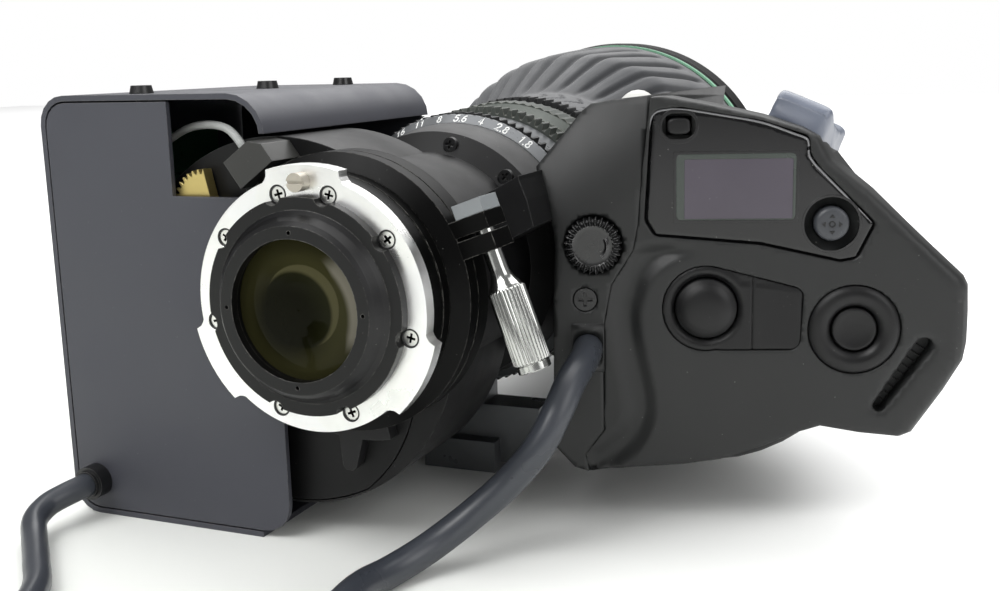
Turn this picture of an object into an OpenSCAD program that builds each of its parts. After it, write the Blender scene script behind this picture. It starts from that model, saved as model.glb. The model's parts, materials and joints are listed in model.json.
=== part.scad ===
/* [Camera mount] */
// Radius of the spigot that enters the camera
spigot_r = 24; // [22:0.1:24.6]
// How far the full spigot stands behind the flange
spigot_h = 2.6; // [2:0.1:3.4]
// How far the rear rim stands behind the flange
rim_h = 6.4; // [5:0.1:8]
// Radius of the rear rim's outer edge
rim_r = 18.3; // [17.6:0.1:19]
// Radius of the opening in front of the rear glass
rear_opening_r = 15.5; // [12:0.1:16]
// Radius of the flange ring between its lugs
flange_r = 28.3; // [28:0.1:29]
// How far the three lugs stand past the flange ring
lug_h = 2.4; // [1.6:0.1:3]
// Thickness of the flange ring
flange_t = 3.6; // [3:0.1:4.5]
// Radius of the circle of flange screws
flange_screw_ring_r = 24.9; // [24.7:0.1:25.2]
// Diameter of a flange screw's head
flange_head_d = 3.4; // [3:0.1:3.8]
// Diameter of the locating pin
locating_pin_d = 4.1; // [3:0.1:4.3]

/* [Barrel] */
// Radius of the rear barrel and its rear edge
rear_barrel_r = 28.3; // [28:0.1:29]
// Radius of the flange-back ring
back_ring_r = 32.2; // [31:0.1:33]
// Radius of the housing between the back ring and the iris
housing_r = 28.5; // [27.5:0.1:29]
// Radius of the rear edge of the iris band
iris_band_r = 33.5; // [33:0.1:34.5]
// Radius of the fixed tube that carries the three rings
tube_r = 31; // [30:0.1:31.5]
// Radius of the light path through the barrel
light_r = 21.5; // [18:0.5:22]
// Teeth on the iris ring
iris_teeth = 92; // [91:1:93]
// Teeth on the zoom ring
zoom_teeth = 94; // [93:1:95]
// Teeth on the focus gear
focus_teeth = 98; // [97:1:98]
// Teeth on each drive pinion
pinion_teeth = 22; // [20:1:23]

/* [Extender] */
// Radius of the extender drum
drum_r = 45.4; // [43:0.1:45.5]
// Radius of the round cover on the drum
drum_cover_r = 38; // [36:0.5:38.5]

/* [Front] */
// Radius of the front rim
front_r = 56; // [55:0.5:58]
// Radius of the accessory thread inside the front rim
front_thread_r = 52.5; // [51.5:0.1:52.8]
// Length of the accessory thread
front_thread_l = 7; // [5:0.5:8]
// Number of ribs round the rubber grip
ribs = 40; // [36:1:44]
// Height of a rib
rib_h = 1.3; // [0.6:0.1:1.6]

/* [Control box] */
// Left side of the box, measured from the optical axis
box_left = 87; // [84:0.5:92]
// Top of the box above the optical axis
box_top = 45.2; // [44.5:0.1:47]
// Bottom of the box, on which the lens rests, below the optical axis
rest_depth = 64; // [63:0.5:66]
// Thickness of the sheet metal
sheet_t = 1.4; // [1:0.1:2]
// Length of the box along the lens
box_l = 86; // [84:0.5:86.5]

/* [Drive unit] */
// Turn of the rear panel away from square
panel_yaw = 15; // [13:0.5:16]
// Diameter of the record button
record_d = 14.6; // [12:0.1:15]
// Diameter of the auxiliary button's ring
aux_ring_d = 21.2; // [19:0.1:22]
// Width of the display window
window_w = 27.6; // [24:0.1:28]
// Height of the display window
window_h = 15.6; // [13:0.1:16]
// Diameter of the serrated knob
knob_d = 13.8; // [12:0.1:14.2]
// Travel of a push button
button_travel = 0.8; // [0.4:0.1:0.9]
// Width of the strap slot
slot_w = 4.2; // [3.4:0.1:4.6]

/* [Leads] */
// Diameter of the grip lead
grip_lead_d = 7.2; // [6:0.1:7.4]
// Diameter of the box lead
box_lead_d = 6.2; // [5:0.1:6.6]

/* [Hidden] */

// Fine steps on round pieces
$fn = 72;
// Small clearances: a running fit, a fixed seat, and moving parts that must not touch
run_gap = 0.08;
seat_gap = 0.03;
side_gap = 0.3;
// How far the pitch circle of the iris gear lies outside the fixed tube, and the module that follows from it
gear_rise = 5.8;
gear_module = 2 * (tube_r + gear_rise) / iris_teeth;
// Overrun of a cut past the face that it opens
over = 1;
full_turn = 360;
half_turn = 180;
right_angle = 90;

// Stations along the optical axis, from the flange face to the front
rear_land_l = 8;
journal_l = 12.4;
housing_l = 35;
band_face_l = 4.7;
band_l = 16.8;
iris_l = 7.9;
mid_band_l = 10.9;
zoom_l = 26.2;
focus_hub_l = 12;
y_land = flange_t + rear_land_l;
y_housing = y_land + journal_l;
y_band = y_housing + housing_l;
y_tube = y_band + band_l;
y_iris = y_tube + side_gap;
y_mid = y_iris + iris_l + side_gap;
y_zoom = y_mid + mid_band_l + side_gap;
y_focus = y_zoom + zoom_l + side_gap;
y_flare = y_focus + focus_hub_l;
y_stop = 216;
y_stripe = 219.4;
y_rim = 222;
y_front = 236;
journal_r = 26;

// Flange and spigot
lug_half_angle = 17;
lug_angles = [0, 120, 240];
// Concave ends of a lug: height as a share of its own, and the angle past its end
lug_end_shares = [[0.45, 0.9], [0.14, 2.4], [-0.1, 4.6]];
lug_end_last = len(lug_end_shares) - 1;
function lug_end(side) = [for (i = [0:lug_end_last])
    let (e = lug_end_shares[side > 0 ? i : lug_end_last - i],
        a = right_angle + side * (lug_half_angle + e[1]))
    (flange_r + lug_h * e[0]) * [cos(a), sin(a)]];
flange_screw_angles = [-14.5, 14.5, 52.5, 103, 158.5, -160, -101, -55];
flange_bore_r = 22.3;
counterbore_r = 2.1;
flange_head_h = 1.1;
flange_screw_r = 1;
flange_screw_l = 6;
spigot_step_r = 21.2;
rim_hole_ring_r = 16.8;
rim_hole_r = 0.45;
rim_hole_depth = 1.2;
rim_angles = [0, 90, 180, 270];
rim_chamfer = 0.9;
spigot_cone_h = 1;
pin_ring_r = 27;
pin_h = 3;
pin_seat = 2;
pin_shank_r = 1.4;
glass_recess = 2.2;
rear_glass_r = 15.9;
rear_glass_t = 5;
rear_glass_bulge = 1.6;
spigot_wall = 1.8;

module at_clock(angle, r) rotate([0, angle, 0]) translate([0, 0, r]) children();
module lathe(outline) rotate([-right_angle, 0, 0]) rotate_extrude() polygon(outline);
module band(inner, outer, y0, y1)
    lathe([[inner, y0], [outer, y0], [outer, y1], [inner, y1]]);
module rod(r, y0, y1) translate([0, y0, 0]) rotate([-right_angle, 0, 0]) cylinder(r = r, h = y1 - y0);
module prism(y0, y1) translate([0, y1, 0]) rotate([right_angle, 0, 0]) linear_extrude(y1 - y0) children();

// Points of an arc, and of a polygon with round corners given as [x, y, radius]
function arc(cx, cy, r, a0, a1, n) = [for (i = [0 : n]) let (a = a0 + (a1 - a0) * i / n)
    [cx + r * cos(a), cy + r * sin(a)]];
function unit(v) = v / norm(v);
function corner(p, q, s, n) = let (
    b = [q[0], q[1]], u = unit([p[0], p[1]] - b), v = unit([s[0], s[1]] - b), r = q[2],
    half = acos(max(-1, min(1, u * v))) / 2, back = r / tan(half),
    c = b + unit(u + v) * r / sin(half), t0 = b + u * back - c, t1 = b + v * back - c,
    a0 = atan2(t0[1], t0[0]), turn = atan2(t1[1], t1[0]) - a0,
    sweep = turn > half_turn ? turn - full_turn : turn < -half_turn ? turn + full_turn : turn)
    r == 0 ? [b] : arc(c[0], c[1], r, a0, a0 + sweep, n);
function rounded(pts, n = 5) = let (m = len(pts))
    [for (i = [0 : m - 1]) each corner(pts[(i + m - 1) % m], pts[i], pts[(i + 1) % m], n)];

// A screw head with a cross recess, its face at y = 0, looking back along the lens
cross_w_share = 0.16;
cross_l_share = 0.62;
cross_h_share = 0.5;
module cross_screw(head_r, head_h, shank_r, shank_l) {
    difference() {
        rod(head_r, 0, head_h);
        for (a = [0, right_angle]) rotate([0, a, 0])
            translate([-head_r * cross_l_share, -over, -head_r * cross_w_share])
                cube([2 * head_r * cross_l_share, over + head_h * cross_h_share,
                    2 * head_r * cross_w_share]);
    }
    rod(shank_r, head_h, head_h + shank_l);
}

// Straight-sided gear teeth, a little thinner than the space that they run in
tip_share = 0.12;
root_share = 0.35;
addendum_share = 0.95;
dedendum_share = 1.25;
function gear_r(teeth) = teeth * gear_module / 2;
function gear_tip_r(teeth) = gear_r(teeth) + gear_module * addendum_share;
function gear_root_r(teeth) = gear_r(teeth) - gear_module * dedendum_share;
module gear_outline(teeth, phase = 0) {
    step = full_turn / teeth;
    root = gear_root_r(teeth);
    tip = gear_tip_r(teeth);
    polygon([for (i = [0 : teeth - 1]) let (a = (i + phase) * step) each [
        root * [cos(a - root_share * step), sin(a - root_share * step)],
        tip * [cos(a - tip_share * step), sin(a - tip_share * step)],
        tip * [cos(a + tip_share * step), sin(a + tip_share * step)],
        root * [cos(a + root_share * step), sin(a + root_share * step)]]]);
}
module gear_ring(teeth, inner, y0, y1, phase = 0)
    difference() {
        prism(y0, y1) gear_outline(teeth, phase);
        rod(inner, y0 - over, y1 + over);
    }

module mount_flange() color("silver") difference() {
    union() {
        band(flange_bore_r, flange_r, 0, flange_t);
        for (a = lug_angles) rotate([0, a, 0]) prism(0, flange_t)
            polygon(concat(arc(0, 0, flange_r + lug_h, right_angle - lug_half_angle,
                right_angle + lug_half_angle, 8), lug_end(1),
                arc(0, 0, flange_bore_r + over, right_angle + lug_half_angle,
                    right_angle - lug_half_angle, 8), lug_end(-1)));
    }
    for (a = flange_screw_angles) at_clock(a, flange_screw_ring_r) {
        rod(counterbore_r, -over, flange_head_h + side_gap);
        rod(flange_screw_r + run_gap, -over, flange_t + over);
    }
    at_clock(0, pin_ring_r) rod(pin_shank_r + seat_gap, -over, pin_seat);
}

module flange_screws() color("lightgray")
    for (a = flange_screw_angles) at_clock(a, flange_screw_ring_r) translate([0, side_gap, 0])
        cross_screw(flange_head_d / 2, flange_head_h, flange_screw_r, flange_screw_l);

module locating_pin() color("tan") at_clock(0, pin_ring_r) difference() {
    union() {
        rod(locating_pin_d / 2, -pin_h - seat_gap, -seat_gap);
        rod(pin_shank_r, -pin_h / 2, pin_seat - seat_gap);
    }
    translate([-locating_pin_d, -pin_h - over, -locating_pin_d * cross_w_share / 2])
        cube([2 * locating_pin_d, over + pin_h * cross_w_share, locating_pin_d * cross_w_share]);
}

// Black spigot: a full step, a cone and the rim round the rear glass
module rear_spigot() color("dimgray") difference() {
    lathe([
        [rear_opening_r, -rim_h], [rim_r, -rim_h], [rim_r + rim_chamfer, -rim_h + rim_chamfer],
        [spigot_step_r - rim_chamfer, -spigot_h - spigot_cone_h], [spigot_step_r, -spigot_h],
        [spigot_r, -spigot_h], [spigot_r, 0], [flange_bore_r - seat_gap, 0],
        [flange_bore_r - seat_gap, flange_t], [light_r, flange_t], [light_r, 0],
        [rear_glass_r + seat_gap, 0], [rear_glass_r + seat_gap, -rim_h + glass_recess],
        [rear_opening_r, -rim_h + glass_recess]]);
    for (a = flange_screw_angles) at_clock(a, flange_screw_ring_r) rod(counterbore_r, -spigot_h - over,
        over);
    for (a = rim_angles) at_clock(a, rim_hole_ring_r) rod(rim_hole_r, -rim_h - over,
        -rim_h + rim_hole_depth);
}

// A lens element: rim radius, thickness and how far each face bulges
module element(r, y0, t, bulge0, bulge1) lathe(concat(
    [for (i = [0 : 8]) let (s = i / 8) [r * s, y0 - bulge0 * (1 - s * s)]],
    [for (i = [8 : -1 : 0]) let (s = i / 8) [r * s, y0 + t + bulge1 * (1 - s * s)]]));

module rear_glass() color("darkolivegreen")
    element(rear_glass_r, -rim_h + glass_recess + rear_glass_bulge, rear_glass_t - rear_glass_bulge,
        rear_glass_bulge, 0);

land_groove_y = 7.9;
land_groove_d = 0.4;
land_groove_w = 0.5;
module rear_barrel() color("dimgray") difference() {
    lathe([
        [light_r, flange_t], [rear_barrel_r, flange_t], [rear_barrel_r, land_groove_y],
        [rear_barrel_r - land_groove_d, land_groove_y], [rear_barrel_r - land_groove_d,
            land_groove_y + land_groove_w],
        [rear_barrel_r, land_groove_y + land_groove_w], [rear_barrel_r, y_land],
        [journal_r, y_land], [journal_r, y_housing], [light_r, y_housing]]);
    for (a = flange_screw_angles) at_clock(a, flange_screw_ring_r)
        rod(flange_screw_r + run_gap, flange_t - over, flange_t + flange_screw_l);
}

// Flange-back ring with two clamp ears and their lock screw
ring_face_h = 2;
ring_groove_y = 17.7;
ring_groove_w = 0.5;
ring_groove_d = 0.5;
clamp_angle = 70;
clamp_r = 37;
ear_reach = 3.4;
ear_w = 9.6;
ear_upper = [-6.4, -2.7];
ear_lower = [-1.9, 2.1];
screw_y = 18.6;
neck_l = 8.8;
neck_r = 2.15;
flare_l = 2.4;
knurl_l = 17;
knurl_r = 4.25;
end_l = 2;
end_r = 3.8;
knurls = 30;
knurl_d = 0.35;
ring_y0 = y_land + side_gap;
ring_y1 = y_housing - side_gap;
module ear(span) at_clock(clamp_angle, 0)
    translate([span[0], screw_y - ear_w / 2, journal_r + run_gap + over])
        cube([span[1] - span[0], ear_w, clamp_r + ear_reach - journal_r - run_gap - over]);
module back_focus_ring() color("dimgray") difference() {
    union() {
        lathe([
            [journal_r, ring_y0], [rear_barrel_r, ring_y0], [back_ring_r, ring_y0 + ring_face_h],
            [back_ring_r, ring_groove_y], [back_ring_r - ring_groove_d, ring_groove_y],
            [back_ring_r - ring_groove_d, ring_groove_y + ring_groove_w],
            [back_ring_r, ring_groove_y + ring_groove_w], [back_ring_r, ring_y1], [journal_r, ring_y1]]);
        ear(ear_upper);
        ear(ear_lower);
    }
    rod(journal_r + run_gap, y_land - over, y_housing + over);
    at_clock(clamp_angle, clamp_r) translate([0, screw_y, 0]) rotate([0, right_angle, 0])
        translate([0, 0, ear_upper[0] - over]) cylinder(r = neck_r + run_gap, h =
            ear_lower[1] - ear_upper[0] + 2 * over);
}
// Grey nut plate behind the upper ear
spacer_l = 9;
spacer_w = 7;
spacer_t = 3.2;
module clamp_spacer() color("slategray") difference() {
    at_clock(clamp_angle, clamp_r - spacer_w / 2)
        translate([ear_upper[0] - spacer_t - seat_gap, screw_y - ear_w / 2, 0]) cube([spacer_t, spacer_l,
            spacer_w]);
    at_clock(clamp_angle, clamp_r) translate([ear_upper[0] - spacer_t - over, screw_y, 0]) rotate([0,
        right_angle, 0])
        cylinder(r = neck_r + run_gap, h = spacer_t + 2 * over);
}
module lock_screw() color("gainsboro") at_clock(clamp_angle, clamp_r) translate([0, screw_y, 0])
    rotate([0, right_angle, 0]) {
    stem = ear_lower[1] - ear_upper[0] + spacer_t;
    translate([0, 0, ear_upper[0] - spacer_t]) cylinder(r = neck_r, h = stem + neck_l + side_gap);
    difference() {
        union() {
            translate([0, 0, ear_lower[1] + neck_l - flare_l]) cylinder(r1 = neck_r, r2 =
                knurl_r - knurl_d, h = flare_l);
            translate([0, 0, ear_lower[1] + neck_l]) linear_extrude(knurl_l)
                polygon([for (i = [0 : 2 * knurls - 1]) let (a = i * half_turn / knurls, r =
                    knurl_r - knurl_d * (i % 2))
                    [r * cos(a), r * sin(a)]]);
            translate([0, 0, ear_lower[1] + neck_l + knurl_l]) cylinder(r = end_r, h = end_l);
        }
        translate([-end_r - over, -end_r * cross_w_share,
            ear_lower[1] + neck_l + knurl_l + end_l * cross_h_share])
            cube([2 * (end_r + over), 2 * end_r * cross_w_share, end_l]);
    }
}

// Extender housing: the round barrel and the drum set low and to the left
drum_x = -22;
drum_z = -10.5;
drum_l = 32;
cover_x = -25.2;
cover_z = -20.4;
cover_t = 1.4;
cover_groove = 0.35;
cover_edge_gap = 0.5;
module extender_housing() color("dimgray") difference() {
    union() {
        band(light_r, housing_r, y_housing, y_band);
        translate([drum_x, 0, drum_z]) rod(drum_r, y_housing, y_housing + drum_l);
    }
    rod(light_r, y_housing - over, y_band + over);
    translate([brass_x, 0, brass_z]) rod(brass_shaft_r + run_gap, y_housing - over,
        y_housing + brass_shaft_l + side_gap);
    intersection() {
        translate([cover_x, 0, cover_z]) rod(drum_cover_r + cover_groove, y_housing - over,
            y_housing + cover_t);
        translate([drum_x, 0, drum_z]) rod(drum_r - cover_edge_gap, y_housing - over, y_housing + cover_t);
    }
}
module extender_cover() color("dimgray") difference() {
    intersection() {
        translate([cover_x, 0, cover_z]) rod(drum_cover_r, y_housing, y_housing + cover_t - seat_gap);
        translate([drum_x, 0, drum_z]) rod(drum_r - cover_edge_gap - cover_groove, y_housing,
            y_housing + cover_t - seat_gap);
    }
    rod(light_r, y_housing - over, y_housing + cover_t + over);
}

// Finger lever of the extender: a ring segment under the flange with a tapered tab
lever_t = 3.6;
lever_r0 = 33;
lever_r1 = 36.4;
lever_tip_r = 44.6;
lever_half_angle = 17;
lever_root_w = 6.4;
lever_tip_w = 3.6;
lever_y = y_housing - side_gap - lever_t;
lever_root_angle = asin(lever_root_w / 2 / lever_r1);
lever_turn = 5;
module extender_lever() color("dimgray") rotate([0, lever_turn, 0]) prism(lever_y, lever_y + lever_t)
    polygon(concat(
    arc(0, 0, lever_r1, -right_angle - lever_half_angle, -right_angle - lever_root_angle, 4),
    [[-lever_tip_w / 2, -lever_tip_r + lever_tip_w / 4], [-lever_tip_w / 4, -lever_tip_r],
     [lever_tip_w / 4, -lever_tip_r], [lever_tip_w / 2, -lever_tip_r + lever_tip_w / 4]],
    arc(0, 0, lever_r1, -right_angle + lever_root_angle, -right_angle + lever_half_angle, 4),
    arc(0, 0, lever_r0, -right_angle + lever_half_angle, -right_angle - lever_half_angle, 8)));

// Iris band: a sloping rear face that carries six screws, then a smooth fixed band
band_front_rise = 3.9;
band_front_r = tube_r + band_front_rise;
band_screw_r = 31;
band_screw_angles = [-52, -20, 12, 44, 132, 228];
band_head_r = 1.85;
band_head_h = 1.5;
band_head_y = 1.3;
module iris_flange() color("dimgray") difference() {
    lathe([[light_r, y_band], [housing_r, y_band], [iris_band_r, y_band + band_face_l],
        [band_front_r, y_tube], [light_r, y_tube]]);
    for (a = band_screw_angles) at_clock(a, band_screw_r) {
        rod(band_head_r + run_gap, y_band - over, y_band + band_head_y + band_head_h);
        rod(flange_screw_r + run_gap, y_band, y_band + band_head_y + band_head_h + flange_screw_l);
    }
}
module band_screws() color("black")
    for (a = band_screw_angles) at_clock(a, band_screw_r) translate([0, y_band + band_head_y - seat_gap, 0])
        cross_screw(band_head_r, band_head_h, flange_screw_r, flange_screw_l - side_gap);

tube_wall = 3.4;
mid_rise = 5;
mid_r = tube_r + mid_rise;
// Foot under the fixed band: a stem and shelf between the two rings, on a pad that stands on the table
foot_left = 16;
foot_stem_right = 3;
foot_shelf_right = 20;
foot_waist_right = 11;
foot_shelf_h = 18.8;
foot_shelf_edge = 2.8;
foot_lift = 2;
foot_inset = 0.2;
foot_pad_h = 9;
foot_pad_inset = 2;
foot_pad_right = 8;
foot_pad_y = y_mid - 4.3;
foot_pad_l = 19.5;
module foot() {
    prism(y_mid + foot_inset, y_mid + mid_band_l - foot_inset) polygon([[-foot_left, -tube_r],
        [foot_stem_right, -tube_r], [foot_stem_right, foot_shelf_h - rest_depth],
        [foot_shelf_right, foot_shelf_h - rest_depth],
        [foot_shelf_right, foot_shelf_h - foot_shelf_edge - rest_depth],
        [foot_waist_right, foot_lift - rest_depth], [-foot_left, foot_lift - rest_depth]]);
    prism(foot_pad_y, foot_pad_y + foot_pad_l) polygon([[foot_pad_inset - foot_left, -rest_depth],
        [foot_pad_right, -rest_depth], [foot_pad_right, foot_pad_h - rest_depth],
        [foot_pad_inset - foot_left, foot_pad_h - rest_depth]]);
}
module main_tube() color("gray") union() {
    lathe([
        [tube_r - tube_wall, y_tube], [tube_r, y_tube], [tube_r, y_mid], [mid_r, y_mid],
        [mid_r, y_mid + mid_band_l], [tube_r, y_mid + mid_band_l], [tube_r, y_flare], [tube_r - tube_wall,
            y_flare]]);
    foot();
}

// How far a plain land lies below the roots of the teeth beside it
land_r = 0.15;
// Iris ring: a sloping number band and a ring gear
number_h = 3.2;
module iris_ring() color("dimgray") difference() {
    union() {
        lathe([[tube_r, y_iris], [band_front_r, y_iris], [gear_root_r(iris_teeth) - land_r,
            y_iris + number_h],
            [gear_root_r(iris_teeth) - land_r, y_iris + iris_l], [tube_r, y_iris + iris_l]]);
        prism(y_iris + number_h, y_iris + iris_l) gear_outline(iris_teeth);
    }
    rod(tube_r + run_gap, y_iris - over, y_iris + iris_l + over);
}

// Zoom ring: ring gear, smooth waist and a knurled band
zoom_gear_l = 5.2;
zoom_waist_rise = 5.2;
zoom_waist_r = tube_r + zoom_waist_rise;
zoom_knurl_rise = 8.2;
zoom_knurl_r = tube_r + zoom_knurl_rise;
zoom_knurl_l = 8;
zoom_knurls = 90;
zoom_knurl_d = 0.5;
zoom_lip_l = 3;
module zoom_ring() color("dimgray") difference() {
    knurl_y = y_zoom + zoom_l - zoom_lip_l - zoom_knurl_l;
    union() {
        lathe([[tube_r, y_zoom], [gear_root_r(zoom_teeth) - land_r, y_zoom], [gear_root_r(zoom_teeth)
            - land_r, y_zoom + zoom_gear_l],
            [zoom_waist_r - land_r, y_zoom + zoom_gear_l], [zoom_waist_r - land_r, knurl_y - over],
            [zoom_knurl_r - zoom_knurl_d - land_r, knurl_y],
            [zoom_knurl_r - zoom_knurl_d - land_r, y_zoom + zoom_l], [tube_r, y_zoom + zoom_l]]);
        prism(y_zoom, y_zoom + zoom_gear_l) gear_outline(zoom_teeth);
        prism(knurl_y, knurl_y + zoom_knurl_l) polygon([for (i = [0 : 2 * zoom_knurls - 1])
            let (a = i * half_turn / zoom_knurls, r = zoom_knurl_r - zoom_knurl_d * (i % 2)) [r * cos(a),
                r * sin(a)]]);
    }
    rod(tube_r + run_gap, y_zoom - over, y_zoom + zoom_l + over);
}

// Flare of the front: shares of the way along and radii of the focus sleeve
sleeve_wall = 2.6;
flare_y = [y_flare, y_flare + 16, y_flare + 39, y_flare + 66, y_stop - side_gap];
hub_rise = 5.5;
hub_r = tube_r + hub_rise;
flare_step = 1.5;
flare_r = [hub_r, hub_r + flare_step, 49.4, 52.3, 52.6];
focus_gear_l = 7.6;
module focus_ring() color("dimgray") {
    gear_ring(focus_teeth, hub_r - over, y_focus + side_gap, y_focus + side_gap + focus_gear_l);
    focus_sleeve();
}
module focus_sleeve() lathe(concat(
    [[tube_r + run_gap, y_focus], [hub_r, y_focus]],
    [for (i = [0 : 4]) [flare_r[i], flare_y[i]]],
    [for (i = [4 : -1 : 1]) [flare_r[i] - sleeve_wall, flare_y[i]]],
    [[tube_r + sleeve_wall, y_flare + side_gap], [tube_r + run_gap, y_flare - side_gap]]));

// Rubber grip: slanted ribs that grow with the flare
grip_slant = 24;
rib_steps = 4;
rib_wave_share = [0, 0.85, 1, 0.85];
rubber_t = [2, 2.4, 3.2, 2.2, 2.2];
rubber_swell_share = [0, 0.6, 1, 1, 0];
rubber_rows = 2;
rubber_y0 = y_flare + side_gap;
rubber_gap = 0.12;
function lerp(a, b, t) = a + (b - a) * t;
function rubber_row(k) = let (i = floor(k / rubber_rows), t = (k % rubber_rows) / rubber_rows, j =
    min(i + 1, 4))
    [lerp(flare_y[i], flare_y[j], t), lerp(flare_r[i], flare_r[j], t), lerp(rubber_t[i], rubber_t[j], t),
     lerp(rubber_swell_share[i], rubber_swell_share[j], t)];
module rubber_grip() color("dimgray") {
    rows = [for (k = [0 : 4 * rubber_rows]) rubber_row(k)];
    count = ribs * rib_steps;
    n = len(rows);
    outer = [for (row = rows) for (i = [0 : count - 1]) let (
        a = i * full_turn / count + grip_slant * (row[0] - y_flare) / (y_stop - y_flare),
        r = row[1] + row[2] + rib_h * row[3] * (rib_wave_share[i % rib_steps] - 1))
        [r * sin(a), max(row[0], rubber_y0), r * cos(a)]];
    inner = [for (row = rows) for (i = [0 : count - 1]) let (
        a = i * full_turn / count + grip_slant * (row[0] - y_flare) / (y_stop - y_flare), r =
            row[1] + rubber_gap)
        [r * sin(a), max(row[0], rubber_y0), r * cos(a)]];
    base = n * count;
    side = [for (k = [0 : n - 2]) for (i = [0 : count - 1]) let (j = (i + 1) % count,
        a = k * count + i, b = k * count + j, c = a + count, d = b + count) each [
            [a, b, d], [a, d, c], [base + a, base + d, base + b], [base + a, base + c, base + d]]];
    ends = [for (i = [0 : count - 1]) let (j = (i + 1) % count, top = (n - 1) * count) each [
        [i, base + i, base + j], [i, base + j, j],
        [top + i, base + top + j, base + top + i], [top + i, top + j, base + top + j]]];
    polyhedron(concat(outer, inner), concat(side, ends));
}

barrel_wall = 2.6;
front_land_r = 54.6;
stripe_seat_r = 52.2;
function barrel_r(i) = flare_r[i] - sleeve_wall - side_gap;
cell_bore_r = barrel_r(2) - barrel_wall;
module front_barrel() color("dimgray") lathe(concat(
    [[tube_r - tube_wall, y_flare], [tube_r - run_gap, y_flare]],
    [for (i = [1 : 4]) [barrel_r(i), i == 4 ? y_stop : flare_y[i]]],
    [[front_land_r, y_stop], [front_land_r, y_stripe], [stripe_seat_r, y_stripe], [stripe_seat_r, y_rim],
     [cell_bore_r, y_rim], [cell_bore_r, flare_y[2]], [barrel_r(1) - barrel_wall, flare_y[1]]]));
stripe_r = 55.3;
module stripe_ring() color("mediumseagreen") band(stripe_seat_r + seat_gap, stripe_r, y_stripe, y_rim);
rim_lip_r = 49.8;
rim_round = 1.2;
module front_rim() color("dimgray") lathe([
    [rim_lip_r, y_rim], [stripe_r, y_rim], [front_r, y_rim + rim_round], [front_r, y_front - rim_round],
    [front_r - rim_round, y_front], [front_thread_r, y_front], [front_thread_r, y_front - front_thread_l],
    [rim_lip_r, y_front - front_thread_l]]);
front_glass_t = 4.5;
front_glass_bulge = 2.2;
module front_glass() color("darkslategray")
    element(rim_lip_r - seat_gap, y_rim + seat_gap, front_glass_t, 0, front_glass_bulge);

// Moving glass groups and the iris inside the barrel
focus_cell_y = 188;
focus_cell_l = 12;
zoom_cell_r = tube_r - tube_wall - run_gap;
zoom_cell_y = 100;
zoom_cell_l = 14;
cell_wall = 3;
cell_bulge = 2.5;
module cell(r, y, l) {
    difference() {
        rod(r, y, y + l);
        rod(r - cell_wall, y - over, y + l + over);
    }
    rod(r - cell_wall, y + l / 3, y + l * 2 / 3);
}
module focus_cell() color("darkslategray") cell(cell_bore_r - run_gap, focus_cell_y, focus_cell_l);
module zoom_cell() color("darkslategray") cell(zoom_cell_r, zoom_cell_y, zoom_cell_l);
relay_y = 8;
relay_t = 6;
module relay_glass() color("darkslategray") element(light_r - seat_gap, relay_y, relay_t, cell_bulge,
    cell_bulge);
blade_y = 66;
blade_t = 1.2;
blade_opening_r = 9;
blades = 7;
module iris_blades() color("gray") difference() {
    rod(light_r - seat_gap, blade_y, blade_y + blade_t);
    prism(blade_y - over, blade_y + blade_t + over) polygon([for (i = [0 : blades - 1])
        let (a = i * full_turn / blades) blade_opening_r * [cos(a), sin(a)]]);
}

// Control box: a folded cover, two end plates and what they hold
box_y = 18;
box_right = 20.8;
box_corner_r = 7.5;
box_shoulder_r = 10;
lip_z = 35.8;
floor_lip = 7;
plate_gap = 0.4;
notch_x = 48;
notch_z = 20.8;
plate_right = 20.2;
barrel_cut_r = 34.2;
front_cut_r = 41.5;
box_screw_places_share = [[0.71, 0.1], [0.54, 0.49], [0.49, 0.87]];
box_screw_head_r = 3;
box_screw_head_h = 2;
box_screw_r = 1.5;
box_screw_l = 5;
function box_outline(inset) = rounded([
    [-box_left + inset, -rest_depth + inset, box_corner_r - inset], [-box_left + inset, box_top - inset,
        box_corner_r - inset],
    [-box_right - inset, box_top - inset, box_shoulder_r - inset], [-box_right - inset,
        -rest_depth + inset, 0]]);
module box_cover() color("dimgray") difference() {
    prism(box_y, box_y + box_l) difference() {
        polygon(box_outline(0));
        polygon(box_outline(sheet_t));
        translate([-box_right - box_corner_r, -rest_depth - over])
            square([box_corner_r + over, rest_depth + lip_z + over]);
    }
    for (p = box_screw_places_share) translate([-box_left * p[0], box_y + box_l * p[1],
        box_top - sheet_t - over])
        cylinder(r = box_screw_r + run_gap, h = sheet_t + 2 * over);
}
module end_plate(y, cut_r, notch) difference() {
    prism(y, y + sheet_t) difference() {
        polygon(rounded([
            [-box_left + sheet_t + plate_gap, -rest_depth + sheet_t + plate_gap, box_corner_r - sheet_t],
            [-box_left + sheet_t + plate_gap, box_top - sheet_t - plate_gap, box_corner_r - sheet_t],
            [-box_right - sheet_t - plate_gap, box_top - sheet_t - plate_gap, box_shoulder_r - sheet_t],
            [-box_right - sheet_t - plate_gap, lip_z - plate_gap, 0], [-plate_right, lip_z - plate_gap, 0],
            [-plate_right, -rest_depth + sheet_t + plate_gap, box_corner_r]]));
        if (notch) translate([-notch_x, notch_z]) square([notch_x, rest_depth]);
    }
    rod(cut_r, y - over, y + sheet_t + over);
}
gland_in = 8;
gland_up = 9.4;
gland_x = gland_in - box_left;
gland_z = gland_up - rest_depth;
gland_hole_r = 3.6;
module box_rear_plate() color("dimgray") difference() {
    end_plate(box_y, barrel_cut_r, true);
    translate([gland_x, 0, gland_z]) rod(gland_hole_r + seat_gap, box_y - over, box_y + sheet_t + over);
}
module box_front_plate() color("dimgray") end_plate(box_y + box_l - sheet_t - side_gap, front_cut_r, false);
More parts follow.
